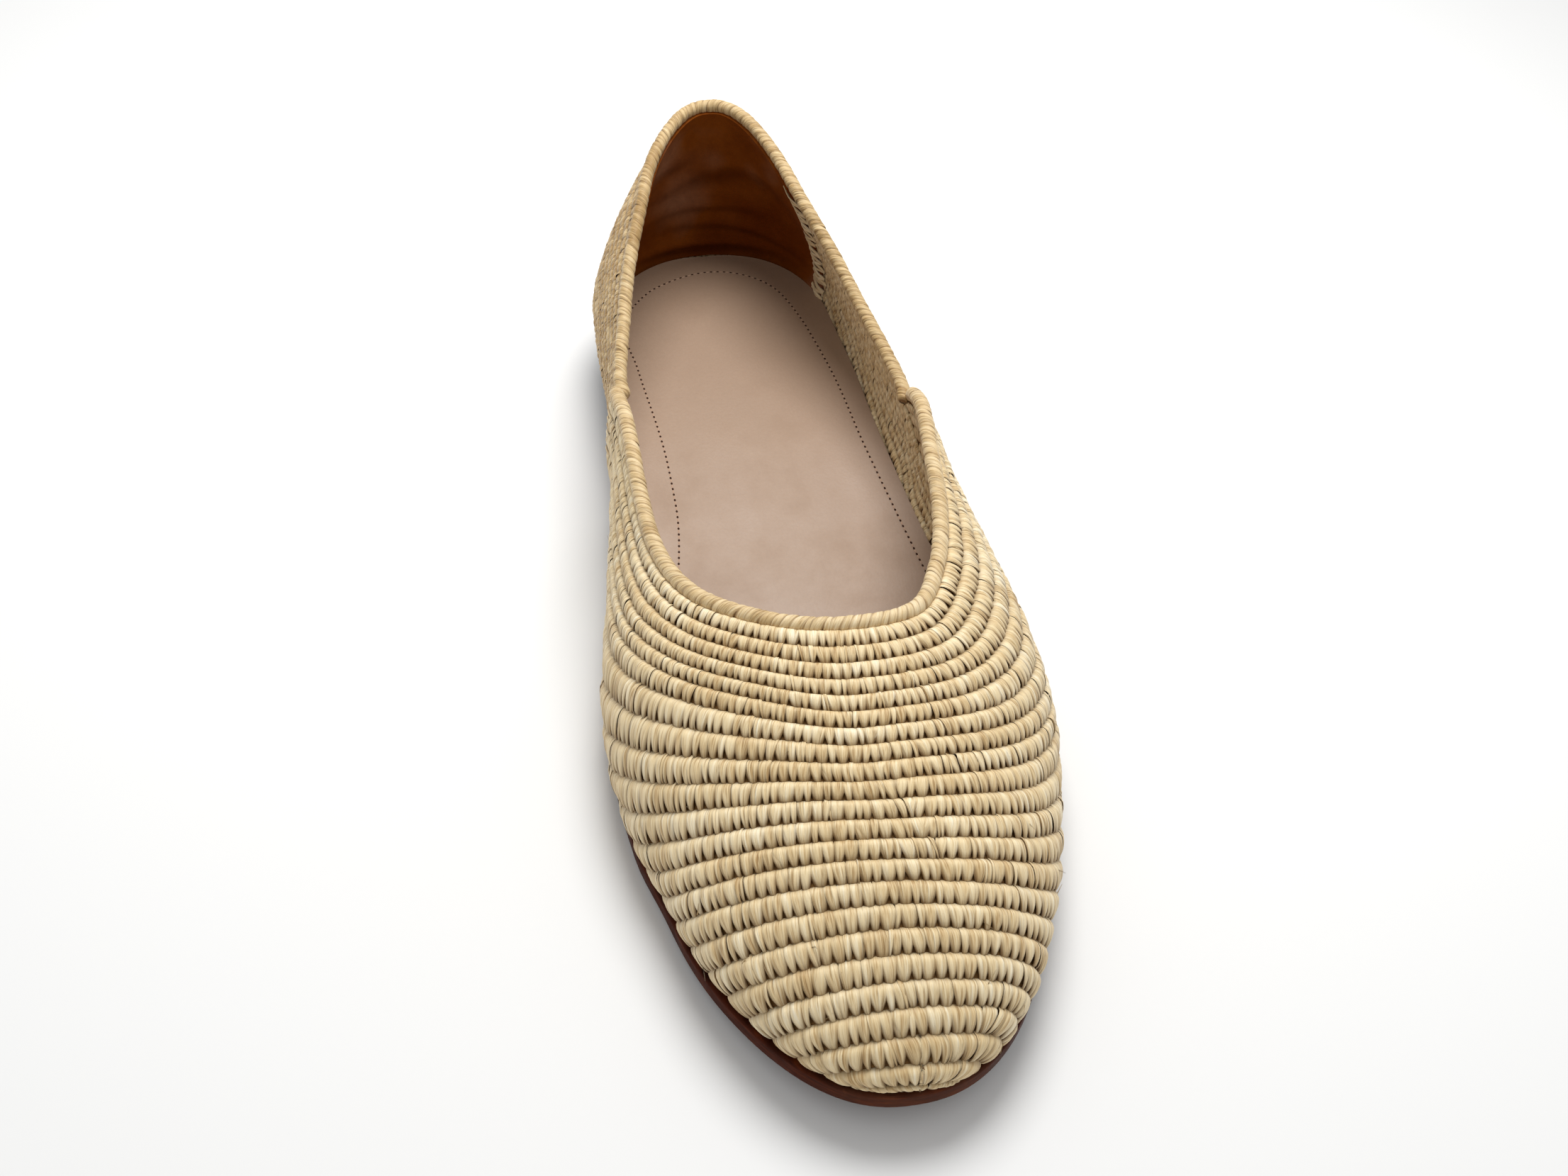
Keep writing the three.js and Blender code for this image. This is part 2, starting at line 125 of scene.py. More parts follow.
def within(value):
    """The value, kept from 0 to 1."""
    return np.clip(value, 0, 1)


def unit(vectors):
    return vectors / np.maximum(np.linalg.norm(vectors, axis=-1, keepdims=True), 1e-9)


def running(steps):
    """The sum of the steps so far, from 0."""
    return np.concatenate([[0], np.cumsum(steps)])


def arc_of(path):
    """Distance along a path at each of its points."""
    return running(np.linalg.norm(np.diff(path, axis=0), axis=1))


def along_path(path, arc, at):
    """Points at distances along a path."""
    return np.stack([np.interp(at, arc, path[:, k]) for k in range(3)], -1)


def each(values):
    """One value for each strand, ready to meet its points."""
    return values[:, None, None]


def spread(shape, *values):
    """The values side by side, at every point of a shape."""
    return np.stack([np.broadcast_to(value, shape) for value in values], -1)


# Smooth readers of the tables

def end_slope(near, far, slope_near, slope_far):
    """Slope at the end of a table, kept from overshooting."""
    slope = ((2 * near + far) * slope_near - near * slope_far) / (near + far)
    if slope * slope_near <= 0:
        return 0.0
    if slope_near * slope_far <= 0 and abs(slope) > 3 * abs(slope_near):
        return 3 * slope_near
    return slope


def slopes_of(at, values):
    """Slopes at the rows of a table, flat where the values turn."""
    step = np.diff(at)
    rise = np.diff(values) / step
    slopes = np.zeros(len(at))
    for i in range(1, len(at) - 1):
        if rise[i - 1] * rise[i] > 0:
            a = 2 * step[i] + step[i - 1]
            b = step[i] + 2 * step[i - 1]
            slopes[i] = (a + b) / (a / rise[i - 1] + b / rise[i])
    slopes[0] = end_slope(step[0], step[1], rise[0], rise[1])
    slopes[-1] = end_slope(step[-1], step[-2], rise[-1], rise[-2])
    return slopes


class Curve:
    """A smooth reader of one column of a table."""

    def __init__(self, at, values):
        self.at = np.array(at, float)
        self.values = np.array(values, float)
        self.slopes = slopes_of(self.at, self.values)

    def __call__(self, where):
        x = np.clip(where, self.at[0], self.at[-1])
        i = np.clip(np.searchsorted(self.at, x, side="right") - 1, 0, len(self.at) - 2)
        step = self.at[i + 1] - self.at[i]
        t = (x - self.at[i]) / step
        start = self.values[i] * (1 + 2 * t) + self.slopes[i] * step * t
        end = self.values[i + 1] * (3 - 2 * t) + self.slopes[i + 1] * step * (t - 1)
        return start * (1 - t) ** 2 + end * t * t


def table(names, rows):
    """A dictionary of readers, one for each column after the first."""
    at = [row[0] for row in rows]
    columns = names.split()[1:]
    return {name: Curve(at, [row[i + 1] for row in rows]) for i, name in enumerate(columns)}


# Half widths and sideways bend of the last, as shares of the ball width
LAST = table("station medial lateral centre", [
    (0.00, 0.318, 0.330, 0.010),
    (0.12, 0.349, 0.342, -0.002),
    (0.25, 0.359, 0.373, -0.006),
    (0.38, 0.366, 0.411, -0.017),
    (0.50, 0.404, 0.461, -0.028),
    (0.56, 0.441, 0.491, -0.023),
    (0.62, 0.474, 0.510, -0.016),
    (0.68, 0.490, 0.505, -0.008),
    (0.74, 0.478, 0.476, -0.004),
    (0.80, 0.440, 0.431, -0.003),
    (0.90, 0.376, 0.349, -0.006),
    (1.00, 0.312, 0.310, -0.024),
])

# Height of the top line of the last, as a share of the back height
CROWN = table("station height", [
    (0.00, 1.273),
    (0.20, 1.158),
    (0.40, 1.053),
    (0.50, 0.909),
    (0.60, 0.805),
    (0.70, 0.753),
    (0.80, 0.655),
    (0.88, 0.548),
    (0.95, 0.464),
    (1.00, 0.392),
])

# Rise of the seat over its level under the ball, as a share of the heel lift
SEAT = table("station rise", [
    (0.00, 1.000),
    (0.15, 0.967),
    (0.30, 0.837),
    (0.45, 0.446),
    (0.60, 0.000),
    (0.75, 0.000),
    (0.88, 0.326),
    (1.00, 0.772),
])

# Roundness of the sections, where 2 is an ellipse
SECTION = table("station medial lateral", [
    (0.00, 1.28, 1.27),
    (0.12, 1.60, 1.46),
    (0.25, 2.05, 1.84),
    (0.36, 3.00, 2.45),
    (0.50, 2.65, 2.60),
    (0.65, 2.40, 2.40),
    (0.80, 2.02, 2.02),
    (1.00, 2.10, 2.10),
])

# Top line of the quarter, as a share of the back height
TOPLINE = table("station height", [
    (0.00, 1.030),
    (0.12, 0.965),
    (0.25, 0.752),
    (0.34, 0.662),
    (0.37, 0.640),
    (0.42, 0.500),
    (0.46, 0.480),
])

# How far the quarter sits inside the line of the vamp, as a share of the step
QUARTER_DEPTH = table("station share", [
    (0.00, 0.0),
    (0.18, 0.0),
    (0.32, 1.0),
    (0.46, 1.0),
])

# Edge of the sole inside the widest line of the upper, as a share of the tuck
SOLE_EDGE = table("station inside", [
    (0.00, 0.55),
    (0.30, 0.95),
    (0.60, 0.90),
    (0.78, 0.80),
    (0.88, 0.63),
    (1.00, 0.55),
])

# Rows of the vamp. An end up to 1 lies on the side seam, counted across the last.
# An end from 1 to 2 lies on the feather line, from the side seam to the toe.
COURSE = table("row crown across medialEnd lateralEnd late", [
    (0.0, 0.684, 0.02, 0.800, 0.760, 0.00),
    (2.5, 0.720, 0.01, 0.920, 0.850, 0.35),
    (5.0, 0.753, 0.00, 1.050, 0.955, 0.70),
    (8.0, 0.793, 0.00, 1.350, 1.150, 1.00),
    (11.0, 0.836, 0.08, 1.570, 1.420, 1.00),
    (14.0, 0.880, 0.20, 1.710, 1.680, 1.00),
    (17.0, 0.929, 0.30, 1.830, 1.860, 1.00),
    (20.0, 0.991, 0.33, 1.930, 1.960, 1.00),
    (22.4, 1.080, 0.20, 1.985, 1.990, 1.00),
])

# Shape of a row from its end to its crown, for the early and the late rows
RUN = table("way medialEarly lateralEarly medialLate lateralLate", [
    (0.0, 1.00, 1.000, 1.00, 1.00),
    (0.2, 0.81, 0.710, 0.90, 0.97),
    (0.4, 0.66, 0.515, 0.71, 0.86),
    (0.6, 0.47, 0.360, 0.46, 0.66),
    (0.8, 0.23, 0.225, 0.20, 0.39),
    (1.0, 0.00, 0.000, 0.00, 0.00),
])


# The last: station runs 0 to 1 from heel to toe.
# Across runs from -1 at the medial feather line over 0 on top to 1 at the lateral one.

def by_side(columns, side_of, where):
    """Reads the medial or the lateral column, by the sign of side_of."""
    return np.where(side_of < 0, columns["medial"](where), columns["lateral"](where))


def closing(station):
    """Share of the width that is left as the heel and the toe close."""
    x = station * LENGTH
    heel = within(1 - x / HEEL_ROUND)
    toe = within(1 - (LENGTH - x) / TOE_ROUND)
    return (1 - heel ** HEEL_POWER) ** (1 / HEEL_POWER) * (1 - toe ** TOE_POWER) ** (1 / TOE_POWER)


def half_width(station, side_of):
    return BALL_WIDTH * by_side(LAST, side_of, station) * closing(station)


def centre(station):
    return BALL_WIDTH * LAST["centre"](station)


def seat(station):
    """Height of the top of the outsole, with its gap."""
    return OUTSOLE + GAP + HEEL_LIFT * SEAT["rise"](station)


def crown(station):
    roll = within(1 - (1 - station) * LENGTH / TOE_ROLL)
    base = seat(station)
    return base + (BACK_HEIGHT * CROWN["height"](station) - base) * np.sqrt(1 - roll * roll)


def tuck_share(rise):
    """Share of the tuck at a rise above the seat, where the wall draws in."""
    return within(1 - rise / TUCK_HEIGHT) ** 2


def last(station, across):
    """A point on the outside of the upper."""
    station, across = np.broadcast_arrays(np.asarray(station, float), np.asarray(across, float))
    power = 2 / by_side(SECTION, across, station)
    angle = (1 - np.abs(across)) * np.pi / 2
    base = seat(station)
    rise = (crown(station) - base) * np.maximum(np.sin(angle), 0) ** power
    share = tuck_share(rise)
    out = np.maximum(np.cos(angle), 0) ** power
    y = half_width(station, across) * out - TUCK * share * closing(station)
    x = station * LENGTH
    lean = HEEL_LEAN * np.clip((base + rise - LEAN_START) / LEAN_RISE, 0, 2) ** LEAN_POWER
    from_heel = (lean + TUCK * share) * within(1 - x / HEEL_REACH) ** 2
    from_toe = TOE_TUCK * share * within(1 - (LENGTH - x) / TOE_REACH) ** 2
    return np.stack([x + from_heel - from_toe - HEEL_REST,
                     centre(station) + np.where(across < 0, -y, y), base + rise], -1)


def across_at(station, side_of, height):
    """The place across the last that lies at a height."""
    base = seat(station)
    share = within((height - base) / (crown(station) - base))
    angle = np.arcsin(share ** (by_side(SECTION, side_of, station) / 2))
    return np.where(side_of < 0, -1, 1) * (1 - angle / (np.pi / 2))


def outward(station, across):
    """Square to the skin, and straight along the shoe where the sides meet at its ends."""
    s = np.clip(station, END_SHARE, 1 - END_SHARE)
    a = np.clip(across, -1 + END_SHARE, 1 - END_SHARE)
    along = last(s + NORMAL_STEP, a) - last(s - NORMAL_STEP, a)
    over = last(s, a + NORMAL_STEP) - last(s, a - NORMAL_STEP)
    normal = unit(np.cross(along, over))
    normal[..., 1] *= within(np.minimum(station, 1 - np.asarray(station)) / END_SHARE)
    return unit(normal)


def skin(station, across, depth):
    """A point at a depth inside the last."""
    depth = np.broadcast_to(depth, np.broadcast(station, across).shape)
    return last(station, across) - outward(station, across) * depth[..., None]


# Places by row, for the vamp and for the quarter

ROLL_START = 1 - TOE_ROLL / LENGTH


def rolled(way):
    turn = np.clip((way - ROLL_START) / (1 - ROLL_START), 0, np.pi / 2)
    return np.where(way < ROLL_START, way, ROLL_START + (1 - ROLL_START) * np.sin(turn))


def unrolled(station):
    share = within((station - ROLL_START) / (1 - ROLL_START))
    return np.where(station < ROLL_START, station, ROLL_START + (1 - ROLL_START) * np.arcsin(share))


def notch_at(side_of):
    """Station of the collar's notch on that side."""
    return np.where(side_of < 0, NOTCH["medial"], NOTCH["lateral"])


def vamp_place(row, share):
    """Station and across of a share along a row, from -1 medial to 1 lateral."""
    row, share = np.broadcast_arrays(np.asarray(row, float), np.asarray(share, float))
    medial = share < 0
    way = 1 - np.abs(share)
    end = np.where(medial, COURSE["medialEnd"](row), COURSE["lateralEnd"](row))
    notch = notch_at(share)
    start = unrolled(notch + within(end - 1) * (1 - notch))
    early = np.where(medial, RUN["medialEarly"](way), RUN["lateralEarly"](way))
    late = np.where(medial, RUN["medialLate"](way), RUN["lateralLate"](way))
    run = early + (late - early) * COURSE["late"](row)
    top = COURSE["across"](row)
    station = rolled(start + (COURSE["crown"](row) - start) * np.sin(way * np.pi / 2))
    across = top + (np.where(medial, -1, 1) * np.minimum(end, 1) - top) * run
    return station, across


def vamp_point(row, share, depth):
    station, across = vamp_place(row, share)
    return skin(station, across, depth)


def quarter_top(station):
    return BACK_HEIGHT * TOPLINE["height"](station) - CORD - GAP


def quarter_station(way):
    return QUARTER_FRONT * np.abs(way) ** QUARTER_EASE


def quarter_at(station, side_of, height, depth):
    inset = QUARTER_STEP * QUARTER_DEPTH["share"](station)
    across = across_at(station, side_of, np.maximum(height, seat(station)))
    return skin(station, across, depth + inset)


def quarter_point(row, way, depth):
    """A point of the quarter: rows count down from the top line, ways run medial to lateral."""
    row, way, depth = np.broadcast_arrays(np.asarray(row, float), np.asarray(way, float), depth)
    station = quarter_station(way)
    return quarter_at(station, way, quarter_top(station) - row * QUARTER_ROW, depth)


# Meshes

def grid_quads(rows, columns, flip):
    """Quads of a grid of points that are stored row by row."""
    i, j = np.meshgrid(np.arange(rows - 1), np.arange(columns - 1), indexing="ij")
    corner = (i * columns + j).ravel()
    quads = np.stack([corner, corner + columns, corner + columns + 1, corner + 1], -1)
    return quads[:, ::-1] if flip else quads


PLAIN_STRAND = (0.5, 0.0, 0.5)


class Pile:
    """Gathers grids of points into one mesh, with a UV and a strand colour at each point.

    The strand colour holds the tone, a painted shade towards the grooves and under creases, and a
    seed; on the outsole the shade part marks the toe's wear and painted highlight."""

    def __init__(self):
        self.points, self.quads, self.uv, self.strand = [], [], [], []
        self.count = 0

    def add(self, points, uv=None, strand=PLAIN_STRAND, flip=False):
        """Adds one grid, or many where points has four dimensions."""
        grids = points[None] if points.ndim == 3 else points
        shape = grids.shape[:3]
        many, rows, columns = shape
        starts = self.count + np.arange(many) * rows * columns
        quads = grid_quads(rows, columns, flip)
        self.quads.append((quads[None] + starts[:, None, None]).reshape(-1, 4))
        self.points.append(grids.reshape(-1, 3))
        if uv is None:
            uv = np.stack(np.meshgrid(np.linspace(0, 1, columns), np.linspace(0, 1, rows)), -1)
        self.uv.append(np.broadcast_to(uv, shape + (2,)).reshape(-1, 2))
        self.strand.append(np.broadcast_to(strand, shape + (3,)).reshape(-1, 3))
        self.count += many * rows * columns

    def build(self, name, material):
        """Makes the object from the gathered grids."""
        points = np.concatenate(self.points) * MM
        quads = np.concatenate(self.quads)
        mesh = bpy.data.meshes.new(name)
        mesh.from_pydata(points.tolist(), [], quads.tolist())
        corners = np.empty(len(mesh.loops), int)
        mesh.loops.foreach_get("vertex_index", corners)
        layer = mesh.uv_layers.new(name="UVMap")
        layer.data.foreach_set("uv", np.concatenate(self.uv)[corners].ravel())
        strand = np.concatenate(self.strand)
        colours = np.concatenate([strand, np.ones((len(strand), 1))], 1)
        attribute = mesh.attributes.new("strand", "FLOAT_COLOR", "POINT")
        attribute.data.foreach_set("color", colours.ravel())
        mesh.polygons.foreach_set("use_smooth", np.ones(len(mesh.polygons), bool))
        mesh.validate(clean_customdata=False)
        mesh.update()
        mesh.materials.append(material)
        return add_object(name, mesh)


def add_object(name, data):
    """A new object in the scene."""
    thing = bpy.data.objects.new(name, data)
    bpy.context.scene.collection.objects.link(thing)
    return thing


def closed_wall(pile, outer, inner, strand=PLAIN_STRAND):
    """A wall between an outer and an inner grid of the same size, closed all round."""
    pile.add(outer, strand=strand)
    pile.add(inner, strand=strand, flip=True)
    for near, far in ((outer[0], inner[0]), (inner[-1], outer[-1])):
        pile.add(np.stack([far, near]))
    for near, far in ((outer[:, 0], inner[:, 0]), (inner[:, -1], outer[:, -1])):
        pile.add(np.stack([near, far]))


# Strands of raffia along the rows

@dataclass
class Weave:
    """How strands cover a wall, in millimetres. Taper is how broad their tips are, stitched is
    the share with a thin strand over it, and settled is how much flatter a row's ends lie.
    The tones run from 0, brown, to 1, pale."""
    point_at: object
    width: float
    ground: float
    crest: float
    side: int = 1
    across: int = 11
    along: int = 9
    lean: float = 0.35
    taper: float = 0.7
    stitched: float = 0.0
    settled: float = 0.0
    low_tone: float = 0.38
    high_tone: float = 0.66


def strand_places(weave, row, random):
    """Middles and half widths of strands side by side along a row, and the share per mm there.
    The strands are narrower where the row is."""
    shares = np.linspace(-1, 1, 1600)
    before, here, after = (weave.point_at(np.full_like(shares, row + step), shares, 0.0)
                           for step in (-0.4, 0.0, 0.4))
    row_width = np.linalg.norm(after - before, axis=1) / 0.8
    width = weave.width * np.clip(row_width / WIDE_ROW, NARROWEST, 1)
    steps = np.linalg.norm(np.diff(here, axis=0), axis=1)
    arc = running(steps)
    passed = running(steps / width[1:])
    count = max(int(round(passed[-1])), 2)
    edges = np.linspace(0, passed[-1], count + 1)
    edges[1:-1] += random.uniform(-0.3, 0.3, count - 1)
    edges = np.interp(edges, passed, arc)
    middles = (edges[1:] + edges[:-1]) / 2
    share = np.interp(middles, arc, shares)
    per_mm = np.interp(middles + 0.5, arc, shares) - np.interp(middles - 0.5, arc, shares)
    return share, np.diff(edges) / 2, per_mm


def square_shift(point_at, row, share):
    """How the share changes with the row so that a strand lies square to its row,
    evened out over the strands next to it."""
    step = 0.004
    over = point_at(row + 0.25, share, 0.0) - point_at(row - 0.25, share, 0.0)
    ahead = point_at(row, np.clip(share + step, -1, 1), 0.0)
    along = ahead - point_at(row, np.clip(share - step, -1, 1), 0.0)
    length = np.maximum((along * along).sum(-1), 1e-6)
    shift = -(over * 2 * along).sum(-1) / length * 2 * step
    padded = np.pad(np.clip(shift, -0.2, 0.2), 5, mode="edge")
    return np.convolve(padded, np.full(11, 1 / 11), mode="valid")


def tone_runs(count, random, low, high):
    """Tones that hold over some strands and then change, as one leaf follows another."""
    tones = np.empty(count)
    i = 0
    while i < count:
        run = int(random.integers(4, 26))
        tones[i:i + run] = low + (high - low) * random.beta(2.2, 2.0)
        i += run
    return within(tones + random.normal(0, 0.05, count))


def strand_folds(u, v, count, random):
    """Depth of the lengthwise folds in each strand."""
    folds = 0.0
    for deepest in FOLD_DEPTHS:
        fold = each(random.uniform(-0.7, 0.7, count)) + each(random.normal(0, 0.6, count)) * (v - 0.5)
        depth = each(random.uniform(0.02, deepest, count))
        folds = folds + depth * np.exp(-((u - fold) / FOLD_WIDTH) ** 2)
    return folds


def lay_strands(pile, weave, row, places, tones, slant, random, reach, rise, across):
    """Leaf shaped patches along a row: broad above, drawn in and down to their tips.
    Each runs over u from side to side, and over v from its root to its tip."""
    share, half, per_mm, shift = places
    count = len(share)
    u = np.linspace(-1, 1, across)[None, None, :]
    v = np.linspace(0, 1, weave.along)[None, :, None]
    tip = reach + random.uniform(-0.05, 0.05, count)
    fullness = random.uniform(0.88, 1.1, count)
    fullness = fullness * (1 - weave.settled * within((np.abs(share) - 0.65) / 0.35))
    narrow = np.clip(random.normal(weave.taper, 0.1, count), 0.3, 0.95)
    tilt = random.normal(0, 0.1, count)

    rows_at = row + ROW_START + v * (each(tip) - ROW_START)
    shape = 0.93 + 0.17 * np.sin(np.pi * within(v * 1.25)) ** 0.8
    shape = shape - (1.0 - each(narrow)) * within((v - 0.4) / 0.6) ** 1.5
    offset = each(half) * shape * u * OVERLAP + each(slant) * (v - 0.5)
    shares_at = each(share) + each(shift) * (rows_at - row - 0.5) + offset * each(per_mm)

    fall = within((v - FALL_START) / (1 - FALL_START))
    arch = 1 - 0.85 * within(1 - v / RISE_END) ** 2 - 0.7 * fall ** 2
    slim = np.minimum(each(half), 1)
    edge = 0.55 * np.abs(u) ** 2.4 * (0.35 + 0.8 * v) * slim
    height = weave.crest * each(fullness) * arch + (each(tilt) * u - edge) * (0.25 + 0.75 * arch)
    folds = strand_folds(u, v, count, random)
    height = height + rise - folds * arch * slim
    height = height - 0.35 * within((v - 0.85) / 0.15) ** 1.5 - 0.15 * within((0.08 - v) / 0.08)
    depth = weave.ground - weave.side * height
    points = weave.point_at(rows_at, np.clip(shares_at, -1, 1), depth)

    # Painted shade in the strand colour: darker where a strand lies low, at its root under the row
    # above, along its sides and in its folds.
    lower = within((v - 0.08) / 0.4)
    low = 0.85 * lower * within(1 - height / weave.crest) ** 1.2
    top = 0.55 * within(1 - v / 0.18)
    shade = within(low + top + 0.65 * lower * np.abs(u) ** 3 + 0.9 * folds)
    seeds = each(random.uniform(0, 1, count))
    pile.add(points, spread(height.shape, u * each(half), v),
             spread(height.shape, each(tones), shade, seeds), flip=weave.side < 0)


def strand_row(pile, weave, row, random, reach=1.1, keep=None):
    """One row of wrapped strands, with thin pale ones pulled over some of the joints."""
    share, half, per_mm = strand_places(weave, row + 0.5, random)
    places = np.stack([share, half, per_mm, square_shift(weave.point_at, row + 0.5, share)])
    if keep is not None:
        places = places[:, keep(share)]
    count = places.shape[1]
    if count == 0:
        return
    slant = weave.lean * (random.normal(0.5, 0.8, count) + 2 * within(places[0]))
    tones = tone_runs(count, random, weave.low_tone, weave.high_tone)
    lay_strands(pile, weave, row, places, tones, slant, random, reach, 0.0, weave.across)
    picked = random.uniform(0, 1, count) < weave.stitched
    if picked.any():
        share, half, per_mm, shift = places[:, picked]
        count = len(share)
        beside = share + per_mm * half * random.uniform(0.8, 1.1, count)
        thin = random.uniform(0.2, 0.42, count)
        slant = slant[picked] + random.normal(0.3, 0.5, count)
        tones = random.uniform(0.4, 0.65, count)
        lay_strands(pile, weave, row - 0.04, (beside, thin, per_mm, shift), tones, slant, random,
                    reach + 0.04, 0.06, 5)


def binding(pile, path, radius, random, low_tone, high_tone):
    """A cord of strands wound side by side, slightly askew, with rounded ends."""
    arc = arc_of(path)
    length = arc[-1]

    def wound(at, turn, reach):
        """Points round the cord, closer to its middle at its ends."""
        forward = unit(along_path(path, arc, at + 1.0) - along_path(path, arc, at - 1.0))
        aside = unit(np.cross(ABOVE, forward))
        up = np.cross(forward, aside)
        ring = aside * np.cos(turn)[..., None] + up * np.sin(turn)[..., None]
        short = within(1 - np.minimum(at, length - at) / radius)
        rounding = np.sqrt(1 - short ** 2) + 0.01
        return along_path(path, arc, at) + ring * (reach * rounding)[..., None]

    turn = np.linspace(0, 2 * np.pi, 17)
    core = wound(np.linspace(0, length, 260)[:, None], turn, radius - 0.4)
    # The core is given the full painted shade, so that it shows dark between the strands.
    pile.add(core, strand=(0.1, 1.0, 0.5))

    count = int(round(length / BINDING_STRAND))
    edges = np.linspace(0, length, count + 1)
    edges[1:-1] += random.uniform(-0.3, 0.3, count - 1) * BINDING_STRAND
    middle = each((edges[1:] + edges[:-1]) / 2)
    half = each(np.diff(edges) / 2)
    u = np.linspace(-1, 1, 6)[None, :, None]
    skew = each(0.9 + random.normal(0, 0.18, count))
    fullness = each(random.uniform(0.75, 1.05, count))
    wander = each(random.uniform(0, 2 * np.pi, count))
    swelling = 0.2 * fullness * (1 - np.abs(u) ** 3) + 0.04 * np.sin(2 * turn + wander)
    swelling = swelling + 0.08 * u * np.sin(turn + 2 * wander)
    at = np.clip(middle + half * u * 1.2 + skew * np.cos(turn), 0, length)
    points = wound(at, turn, radius - 0.22 + swelling)
    tones = each(tone_runs(count, random, low_tone, high_tone))
    seeds = each(random.uniform(0, 1, count))
    # Each strand darkens towards its sides: painted shade between the strands.
    pile.add(points, spread(at.shape, u * half, turn / (2 * np.pi) * 3),
             spread(at.shape, tones, np.abs(u) ** 3 * 0.8, seeds))


RIBBON_THICK = 0.12


def ribbon(pile, path, facing, width, random, tone, belly=0.25, pointed=0.0):
    """A flat strand along a path, arched across its width, that may come to a point."""
    forward = unit(np.gradient(path, axis=0))
    aside = unit(np.cross(facing, forward))
    over = unit(np.cross(forward, aside))
    u = np.linspace(-1, 1, 5)
    v = np.linspace(0, 1, len(path))
    half = width / 2 * (1 - pointed * v)[:, None, None]
    points = path[:, None] + aside[:, None] * half * u[None, :, None]
    arch = belly * (1 - u ** 2)[None, :, None] * (1 - pointed * v)[:, None, None]
    points = points + over[:, None] * arch
    tone = within(tone + random.normal(0, 0.08))
    # Darker towards its edges: painted shade.
    strand = spread(points.shape[:2], tone, 0.5 * np.abs(u) ** 3, random.uniform(0, 1))
    pile.add(points, strand=strand)
    pile.add(points - over[:, None] * RIBBON_THICK, strand=strand, flip=True)


# Materials

def colour(red, green, blue):
    """A linear colour from its usual 0 to 255 values."""
    values = np.array([red, green, blue]) / 255
    linear = np.where(values <= 0.04045, values / 12.92, ((values + 0.055) / 1.055) ** 2.4)
    return (*linear.tolist(), 1.0)


class Nodes:
    """Short ways to add nodes to a new material."""

    def __init__(self, name, **sockets):
        self.material = bpy.data.materials.new(name)
        self.material.use_nodes = True
        self.tree = self.material.node_tree
        self.shader = self.tree.nodes["Principled BSDF"]
        for socket, value in sockets.items():
            self.shader.inputs[socket.replace("_", " ")].default_value = value

    def add(self, kind, inputs=None, **settings):
        node = self.tree.nodes.new("ShaderNode" + kind)
        for key, value in settings.items():
            setattr(node, key, value)
        for key, value in (inputs or {}).items():
            self.feed(node, key, value)
        return node

    def feed(self, node, key, value):
        if isinstance(value, bpy.types.NodeSocket):
            self.tree.links.new(value, node.inputs[key])
        else:
            node.inputs[key].default_value = value

    def place(self):
        return self.add("TexCoord").outputs["Object"]

    def strand(self):
        """The strand colour's parts: Red is the tone, Green the painted shade (on the outsole, the
        toe's wear and painted highlight), Blue the seed.
        """
        colours = self.add("Attribute", attribute_name="strand").outputs["Color"]
        return self.add("SeparateColor", {"Color": colours}).outputs

    def noise(self, vector, scale, detail=3.0, roughness=0.5):
        node = self.add("TexNoise", {"Vector": vector, "Scale": scale, "Detail": detail,
                                               "Roughness": roughness})
        return node.outputs["Fac"]

    def maths(self, operation, a, b):
        return self.add("Math", {0: a, 1: b}, operation=operation).outputs[0]

    def span(self, value, low, high, new_low, new_high):
        node = self.add("MapRange", {"Value": value, "From Min": low, "From Max": high,
                                               "To Min": new_low, "To Max": new_high})
        return node.outputs["Result"]

    def swing(self, value, low, high):
        """From low to high over the range where most of a noise lies."""
        return self.span(value, 0.3, 0.7, low, high)

    def mix(self, factor, base, shade):
        """The base, turned by the factor towards a shade given from 0 to 255."""
        node = self.add("Mix", {0: factor, 6: base, 7: colour(*shade)}, data_type="RGBA")
        return node.outputs[2]

    def ramp(self, value, stops):
        node = self.add("ValToRGB", {"Fac": value})
        elements = node.color_ramp.elements
        while len(elements) < len(stops):
            elements.new(0.5)
        for element, (position, shade) in zip(elements, stops):
            element.position = position
            element.color = colour(*shade)
        return node.outputs["Color"]

    def bump(self, height, strength, distance, below=None):
        inputs = {"Height": height, "Strength": strength, "Distance": distance}
        if below is not None:
            inputs["Normal"] = below
        return self.add("Bump", inputs).outputs["Normal"]

    def finish(self, base, roughness=None, normal=None):
        self.feed(self.shader, "Base Color", base)
        if roughness is not None:
            self.feed(self.shader, "Roughness", roughness)
        if normal is not None:
            self.feed(self.shader, "Normal", normal)
        return self.material


RAFFIA_TONES = [
    (0.00, (170, 135, 83)),
    (0.25, (204, 173, 123)),
    (0.50, (227, 202, 155)),
    (0.75, (239, 219, 178)),
    (1.00, (248, 236, 207)),
]
PALE_TONES = [
    (0.00, (172, 139, 88)),
    (0.40, (210, 182, 134)),
    (0.80, (230, 208, 167)),
    (1.00, (242, 227, 196)),
]


